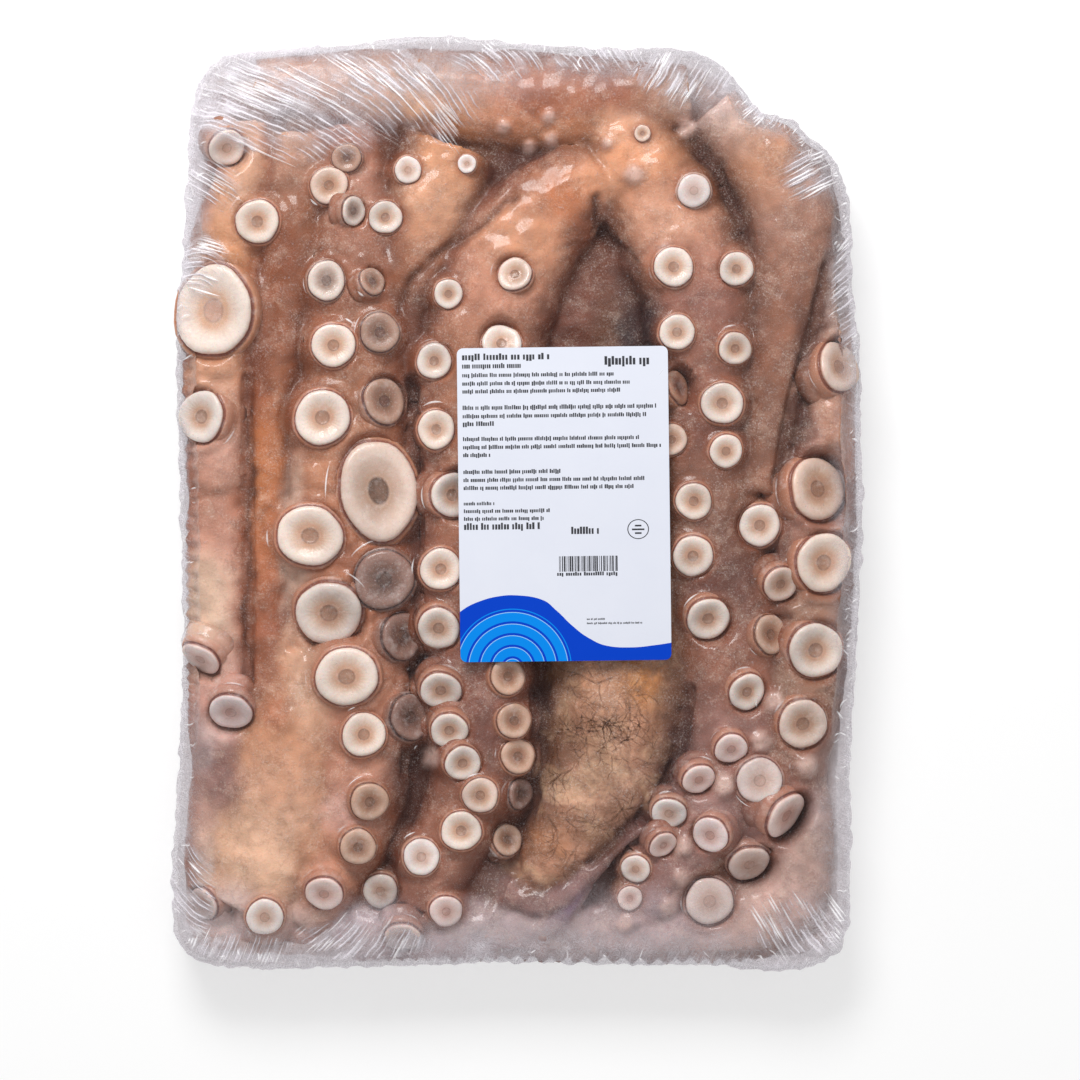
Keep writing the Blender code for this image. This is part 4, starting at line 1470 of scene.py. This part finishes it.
class Gathers:
    """How the film is gathered at places: how strongly, the pleats' count across and the way along."""

    MARGIN_PITCH = 2.2

    def __init__(self, x, y):
        edge = EdgeField(x, y)
        self.inside = edge.inside
        uneven = lumps(x, y, 11, 65)
        width = 6.0 + 2.6 * clouds(x, y, 26, 66)
        self.strength = 0.3 * (1 - ease(0.6 * width, 1.5 * width, edge.inside + 2.5 * uneven))
        self.across = (edge.run + 0.5 * edge.inside) / self.MARGIN_PITCH
        self.along = edge.inside * 1.0
        for field in PLEAT_FIELDS.values():
            self.lay(x, y, uneven, *field[:8])

    def lay(self, x, y, uneven, cx, cy, half_long, half_wide, turned, first, last, pitch):
        turned = math.radians(turned)
        dx, dy = x - cx, y - cy
        u = (dx * math.cos(turned) + dy * math.sin(turned)) / half_long
        v = (dy * math.cos(turned) - dx * math.sin(turned)) / half_wide
        away = np.hypot(u, v) + 0.3 * uneven
        strength = 1 - ease(0.72, 1.12, away)
        turn = np.radians(first + (last - first) * np.clip((u + 1) / 2, 0, 1))
        across = (dy * np.cos(turn) - dx * np.sin(turn)) / pitch
        along_pleat = dx * np.cos(turn) + dy * np.sin(turn)
        stronger = strength > self.strength
        self.strength = np.where(stronger, strength, self.strength)
        self.across = np.where(stronger, across, self.across)
        self.along = np.where(stronger, along_pleat, self.along)


class Gatherer:
    """Lays pleats on the film: narrow ridges that taper to nothing at both ends."""

    def __init__(self, film):
        self.relief = Relief(film)
        self.body = bmesh.new()
        self.bright = self.body.verts.layers.float.new("bright")

    def pleat(self, path, half_width, ridge, brightness):
        """One ridge along a path of plan places, as far as it lies on the block's top."""
        path = [place for place in path if self.inside(*place)]
        count = len(path) - 1
        if count < 3:
            return
        grid = bmesh.ops.create_grid(self.body, x_segments=count, y_segments=2, size=1)["verts"]
        for vert in grid:
            station = min(int(round((vert.co.x + 1) / 2 * count)), count)
            side = round(vert.co.y)
            before, after = path[max(station - 1, 0)], path[min(station + 1, count)]
            along_x, along_y = after[0] - before[0], after[1] - before[1]
            length = math.hypot(along_x, along_y) or 1.0
            taper = math.sin(math.pi * (0.04 + 0.92 * station / count)) ** 0.6
            x = path[station][0] - along_y / length * side * half_width * taper
            y = path[station][1] + along_x / length * side * half_width * taper
            lift = 0.12 + (ridge * taper if side == 0 else 0.0)
            vert.co = plan(x, y, float(self.relief.at(x, y)) + lift)
            vert[self.bright] = brightness * taper

    def inside(self, x, y):
        return float(self.relief.at(x, y)) > 24


def straight_path(x, y, angle, length, bend, count):
    """Places along a line that bends a little."""
    path = []
    for i in range(count + 1):
        t = i / count - 0.5
        turn = angle + bend * t
        path.append((x + math.cos(turn) * length * t, y + math.sin(turn) * length * t))
    return path


def wavy_path(x, y, angle, length, dice):
    """Places along a line that wanders a little from side to side."""
    count = max(6, int(length / 1.8))
    phase, waves = dice.uniform(0, math.tau), length / dice.uniform(18, 34)
    sway, bend = dice.uniform(0.05, 0.28), dice.uniform(-0.012, 0.012) * length
    path = []
    for i in range(count + 1):
        t = i / count - 0.5
        side = sway * math.sin(phase + math.tau * waves * t) + bend * (4 * t * t - 0.5)
        path.append((x + math.cos(angle) * length * t - math.sin(angle) * side,
                     y + math.sin(angle) * length * t + math.cos(angle) * side))
    return path


def lay_fields(gatherer, dice):
    """The raised pleats among those of each field, painted bright as highlights."""
    for field in PLEAT_FIELDS.values():
        cx, cy, half_long, half_wide, turned, first, last, pitch, count, shortest, longest = field
        turned = math.radians(turned)
        for _ in range(count):
            u, v = dice.uniform(-1, 1), dice.uniform(-1, 1)
            if math.hypot(u, v) > 1:
                continue
            x = cx + u * half_long * math.cos(turned) - v * half_wide * math.sin(turned)
            y = cy + u * half_long * math.sin(turned) + v * half_wide * math.cos(turned)
            turn = first + (last - first) * (u + 1) / 2 + dice.gauss(0, 1.2)
            length = dice.uniform(shortest, longest)
            bright = dice.uniform(0.25, 1.0) ** 1.7
            half_width = dice.uniform(0.2, 0.5)
            for beside in range(dice.choice((1, 1, 2, 3))):
                side = math.radians(turn + 90)
                place_x = x + math.cos(side) * pitch * 0.7 * beside
                place_y = y + math.sin(side) * pitch * 0.7 * beside
                path = wavy_path(place_x, place_y, math.radians(turn), length, dice)
                gatherer.pleat(path, half_width, dice.uniform(0.2, 0.6), bright)
                length *= dice.uniform(0.5, 0.9)


def lay_margin_creases(gatherer, dice):
    """Short creases all along the margin, mostly square to the edge, painted bright as highlights."""
    count = len(OUTLINE_CURVE) - 1
    for _ in range(CREASE_COUNT):
        k = dice.randrange(count)
        (ax, ay), (bx, by) = OUTLINE_CURVE[k], OUTLINE_CURVE[k + 1]
        angle = math.atan2(by - ay, bx - ax)
        inward = dice.uniform(1.5, 8.0)
        x = ax + math.sin(angle) * inward
        y = ay - math.cos(angle) * inward
        turn = angle + math.pi / 2 + dice.gauss(0, 0.6)
        length = dice.uniform(2.0, 7.0)
        path = straight_path(x, y, turn, length, dice.uniform(-0.9, 0.9), 6)
        gatherer.pleat(path, dice.uniform(0.2, 0.45), dice.uniform(0.2, 0.6), dice.uniform(0.2, 0.9))


def lay_glints(gatherer, dice):
    """Curved folds where the film is drawn down beside a sucker, painted bright as glints."""
    for row in SUCKERS.values():
        for s in row:
            if s.width < 13 or dice.random() < 0.3:
                continue
            radius = s.width / 2 * dice.uniform(1.18, 1.4)
            middle = math.radians(s.toward + 180) if s.lean > 15 else dice.uniform(1.6, 4.2)
            middle += dice.uniform(-0.9, 0.9)
            span = dice.uniform(0.3, 0.9)
            path = [(s.x + math.cos(middle + span * (i / 9 - 0.5)) * radius,
                     s.y + math.sin(middle + span * (i / 9 - 0.5)) * radius * s.oval)
                    for i in range(10)]
            gatherer.pleat(path, dice.uniform(0.2, 0.5), dice.uniform(0.2, 0.45), dice.uniform(0.2, 0.8))


def pleat_material(colours):
    # Painted highlights: the strips are whiter and glow by how bright each one is, where the gathered film
    # catches the light.
    finish = Finish("gathered_film_highlights", Roughness=0.18, Specular_IOR_Level=0.7, Emission_Strength=1.0)
    bright = finish.attribute("bright")
    glitter = finish.noise(420, 3.0, 0.6)
    return finish.drive(
        Base_Color=finish.mix((0.35 + bright).clamped(), solid_colour(paint_of("#c9bcb8")),
                              solid_colour(colours.pleat)),
        Emission_Color=finish.mix((bright * 0.32).clamped(), solid_colour((0, 0, 0)),
                                  solid_colour(colours.pleat)),
        Alpha=(bright * 0.72 + (glitter - 0.5) * 0.6).clamped(),
    )


class BLOCK_OT_pleats(bpy.types.Operator):
    """Gather the film into pleats at the corners, along the edges and beside the suckers, as strips of painted
    highlight
    """

    bl_idname = "block.pleats"
    bl_label = "Pleats"

    def execute(self, context):
        gatherer = Gatherer(bpy.data.objects["film"])
        dice = random.Random(23)
        lay_fields(gatherer, dice)
        lay_margin_creases(gatherer, dice)
        lay_glints(gatherer, dice)
        bmesh.ops.recalc_face_normals(gatherer.body, faces=gatherer.body.faces[:])
        obj = new_piece("pleats", gatherer.body)
        ride_and_slot(obj, pleat_material(context.scene.block_colours))
        return {"FINISHED"}


class LabelPlace:
    """The label's own millimetres, from its lower left corner, on the block."""

    SIZE = (101.5, 151.0)
    TURN = math.radians(0.7)

    def __init__(self, thickness):
        self.middle = (LABEL_LOW + LABEL_HIGH) / 2 / MM
        self.thickness = thickness / MM

    def put(self, verts, lift=0.0):
        """Moves vertices from the label's millimetres onto it."""
        for vert in verts:
            u, v = vert.co.x - self.SIZE[0] / 2, vert.co.y - self.SIZE[1] / 2
            x = self.middle.x + u * math.cos(self.TURN) - v * math.sin(self.TURN)
            y = self.middle.y + u * math.sin(self.TURN) + v * math.cos(self.TURN) - PLAN_SHIFT_Y
            vert.co = plan(x, y, float(label_height(x, y)) + lift + vert.co.z)


def label_material(colours):
    finish = Finish("label_paper", Roughness=0.55, Specular_IOR_Level=0.08)
    split = finish.node(
        "ShaderNodeSeparateXYZ", None, {0: finish.node("ShaderNodeUVMap", {"uv_map": "print"})}
    )
    u = split * LabelPlace.SIZE[0]
    v = Value(finish, split.socket.node.outputs[1]) * LabelPlace.SIZE[1]
    line = [(x / LabelPlace.SIZE[0], y / WAVE_SCALE) for x, y in WAVE]
    crest = finish.node("ShaderNodeFloatCurve", {"curve": line}, {"Value": split}) * WAVE_SCALE
    field = v.below(crest)
    across, above = u - RIPPLE_CENTRE[0], v - RIPPLE_CENTRE[1]
    away = (across * across + above * above).calculate("SQRT")
    ring = (away / RIPPLE_PITCH).calculate("FRACT")
    inside = away.below(RIPPLE_RADIUS) * field * v.below(crest - 1.6)
    band = inside * ring.below(0.74)
    rim = inside * ring.above(0.74) * ring.below(0.80)
    cloud = finish.noise(60, 3.0)
    paper = finish.mix((cloud - 0.35) * 0.5, solid_colour(colours.paper), solid_colour(paint_of("#d4d8e6")))
    tint = finish.mix(field, paper, solid_colour(colours.wave))
    tint = finish.mix(band, tint, solid_colour(colours.ripple))
    tint = finish.mix(rim * 0.8, tint, solid_colour(paint_of("#a9dcff")))
    return finish.drive(Base_Color=tint, Normal=finish.bump(cloud + finish.noise(1800) * 0.1, 0.25, 0.3))


def label_sheet(place):
    """The sheet: a rectangle with round corners, cut into small faces so that it can bend."""
    width, length = place.SIZE
    body = bmesh.new()
    middle = Matrix.Translation((width / 2, length / 2, 0)) @ Matrix.Diagonal((width, length, 1, 1))
    bmesh.ops.create_grid(body, x_segments=1, y_segments=1, size=0.5, matrix=middle)
    bmesh.ops.bevel(
        body, geom=body.verts[:], offset=3.0, segments=6, profile=0.5, affect="VERTICES", material=-1
    )
    for axis, size in ((0, width), (1, length)):
        for cut in np.arange(5.0, size, 5.0):
            point, normal = [0, 0, 0], [0, 0, 0]
            point[axis], normal[axis] = cut, 1
            geom = body.verts[:] + body.edges[:] + body.faces[:]
            bmesh.ops.bisect_plane(body, geom=geom, plane_co=point, plane_no=normal)
    raised = bmesh.ops.extrude_face_region(body, geom=body.faces[:])["geom"]
    top = [item for item in raised if isinstance(item, bmesh.types.BMVert)]
    bmesh.ops.translate(body, vec=(0, 0, place.thickness), verts=top)
    bmesh.ops.recalc_face_normals(body, faces=body.faces[:])
    uv = body.loops.layers.uv.new("print")
    for face in body.faces:
        for loop in face.loops:
            loop[uv].uv = (loop.vert.co.x / width, loop.vert.co.y / length)
    place.put(body.verts)
    return body


def add_bar(body, left, bottom, width, height, place):
    """A printed bar, a hair above the paper."""
    matrix = Matrix.Translation((left + width / 2, bottom + height / 2, 0))
    matrix = matrix @ Matrix.Diagonal((width, height, 1, 1))
    made = bmesh.ops.create_grid(body, x_segments=1, y_segments=1, size=0.5, matrix=matrix)["verts"]
    place.put(made, place.thickness + 0.03)


def print_rows(body, place, dice):
    """Rows of plain upright bars in groups, like words seen from afar."""
    for bottom, left, right, height, pitch in PRINT_ROWS:
        x = left
        while x < right - pitch:
            for _ in range(dice.randint(2, 9)):
                if x > right - pitch:
                    break
                tall = dice.random() < 0.28
                low = bottom - (0.28 * height if dice.random() < 0.12 else 0)
                high = bottom + height * (1.3 if tall else 1.0)
                width = pitch * dice.uniform(0.62, 0.8)
                add_bar(body, x, low, width, high - low, place)
                x += pitch
            x += pitch * 0.85


def print_barcode(body, place, dice):
    left, bottom, width, height = BARCODE
    x = left
    while x < left + width - 0.8:
        bar = dice.choice((0.25, 0.25, 0.5, 0.75))
        add_bar(body, x, bottom, bar, height, place)
        x += bar + dice.choice((0.25, 0.4, 0.6))


def print_stamp(body, place):
    """A plain ring, as a health mark leaves."""
    x, y, radius = STAMP
    loops = []
    for size in (radius, radius - 0.45):
        matrix = Matrix.Translation((x, y, 0)) @ Matrix.Diagonal((size, size * 0.92, 1, 1))
        made = bmesh.ops.create_circle(body, segments=40, radius=1, matrix=matrix)["verts"]
        loops.append(made)
    edges = {edge for loop in loops for vert in loop for edge in vert.link_edges}
    bmesh.ops.bridge_loops(body, edges=list(edges))
    place.put([vert for loop in loops for vert in loop], place.thickness + 0.03)
    for low, half in ((y + 1.3, 1.6), (y - 0.5, 3.0), (y - 2.3, 1.6)):
        add_bar(body, x - half, low, 2 * half, 0.8, place)


class BLOCK_OT_label(bpy.types.Operator):
    """Lay the label on the film, with its plain print"""

    bl_idname = "block.label"
    bl_label = "Label"

    def execute(self, context):
        sizes, colours = context.scene.block_sizes, context.scene.block_colours
        place = LabelPlace(sizes.label_thickness)
        sheet = new_piece("label_sheet", label_sheet(place), smooth=False)
        ride_and_slot(sheet, label_material(colours))
        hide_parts("label")

        dice = random.Random(5)
        body = bmesh.new()
        print_rows(body, place, dice)
        print_barcode(body, place, dice)
        print_stamp(body, place)
        for face in body.faces:
            if face.normal.z < 0:
                face.normal_flip()
        marks = new_piece("label_print", body, smooth=False)
        ink = Finish("label_ink", Roughness=0.45)
        faded = solid_colour(paint_of("#4a4c58"))
        worn = ink.mix(ink.noise(2600, 2.0) * 0.35, solid_colour(colours.ink), faded)
        ride_and_slot(marks, ink.drive(Base_Color=worn))
        return {"FINISHED"}


def add_softbox(name, place, target, width, height, power):
    lamp = bpy.data.lights.new(name, "AREA")
    lamp.shape = "RECTANGLE"
    lamp.size, lamp.size_y = width, height
    lamp.energy = power
    obj = bpy.data.objects.new(name, lamp)
    obj.location = place
    obj.rotation_euler = (Vector(target) - Vector(place)).to_track_quat("-Z", "Y").to_euler()
    bpy.context.collection.objects.link(obj)


def light_world(strength):
    """White to the eye, and a softer, even light on the block."""
    world = bpy.data.worlds.new("studio")
    world.use_nodes = True
    nodes, links = world.node_tree.nodes, world.node_tree.links
    background = nodes["Background"]
    background.inputs["Color"].default_value = (1, 1, 1, 1)
    rays = nodes.new("ShaderNodeLightPath")
    seen = nodes.new("ShaderNodeMath")
    seen.operation = "MAXIMUM"
    links.new(rays.outputs["Is Camera Ray"], seen.inputs[0])
    links.new(rays.outputs["Is Transmission Ray"], seen.inputs[1])
    span = nodes.new("ShaderNodeMapRange")
    span.inputs["To Min"].default_value = strength
    span.inputs["To Max"].default_value = 1.0
    links.new(seen.outputs[0], span.inputs["Value"])
    links.new(span.outputs[0], background.inputs["Strength"])
    bpy.context.scene.world = world


class BLOCK_OT_stage(bpy.types.Operator):
    """Set the pale floor, the soft lights and the camera looking straight down"""

    bl_idname = "block.stage"
    bl_label = "Stage"

    VIEW_CENTRE = (11.5, -17.8)
    VIEW_WIDTH = 0.5192
    CAMERA_HEIGHT = 1.75

    def execute(self, context):
        body = bmesh.new()
        bmesh.ops.create_grid(body, x_segments=1, y_segments=1, size=3.0)
        floor = new_piece("floor", body, smooth=False)
        finish = Finish(
            "floor", Roughness=0.9, Specular_IOR_Level=0.2, Emission_Color=(1, 1, 1, 1),
            Emission_Strength=0.5,
        )
        colour = context.scene.block_colours.floor
        floor.data.materials.append(finish.drive(Base_Color=solid_colour(colour)))

        light_world(0.45)
        add_softbox("key", (-0.3, 1.1, 1.15), (0, 0, 0.03), 0.8, 0.6, 21.0)
        add_softbox("fill", (0.5, -0.3, 1.9), (0, 0, 0.03), 1.4, 1.4, 4.0)

        lens = bpy.data.cameras.new("camera")
        camera = bpy.data.objects.new("camera", lens)
        camera.location = plan(*self.VIEW_CENTRE, 0) + Vector((0, 0, self.CAMERA_HEIGHT))
        lens.lens = lens.sensor_width * (self.CAMERA_HEIGHT - BLOCK_HIGH.z) / self.VIEW_WIDTH
        bpy.context.collection.objects.link(camera)
        context.scene.camera = camera
        context.scene.view_settings.view_transform = "Standard"
        return {"FINISHED"}


OPERATORS = (
    BLOCK_OT_octopus, BLOCK_OT_veins, BLOCK_OT_ice, BLOCK_OT_film, BLOCK_OT_pleats, BLOCK_OT_label,
    BLOCK_OT_stage,
)


class BLOCK_PT_octopus(bpy.types.Panel):
    """Lists what makes the block"""

    bl_idname = "BLOCK_PT_octopus"
    bl_label = "Frozen octopus block"
    bl_space_type = "VIEW_3D"
    bl_region_type = "UI"
    bl_category = "Octopus"

    def draw(self, context):
        for operator in OPERATORS:
            self.layout.operator(operator.bl_idname)
        for group in (context.scene.block_sizes, context.scene.block_colours):
            for name in group.bl_rna.properties.keys():
                if name not in ("rna_type", "name"):
                    self.layout.prop(group, name)


CLASSES = (BlockSizes, BlockColours, *OPERATORS, BLOCK_PT_octopus)


def register():
    for cls in CLASSES:
        bpy.utils.register_class(cls)
    bpy.types.Scene.block_sizes = PointerProperty(type=BlockSizes)
    bpy.types.Scene.block_colours = PointerProperty(type=BlockColours)


def unregister():
    del bpy.types.Scene.block_colours
    del bpy.types.Scene.block_sizes
    for cls in reversed(CLASSES):
        bpy.utils.unregister_class(cls)


def main():
    register()
    bpy.ops.block.octopus()
    bpy.ops.block.veins()
    bpy.ops.block.ice()
    bpy.ops.block.film()
    bpy.ops.block.pleats()
    bpy.ops.block.label()
    bpy.ops.block.stage()


if __name__ == "__main__":
    main()
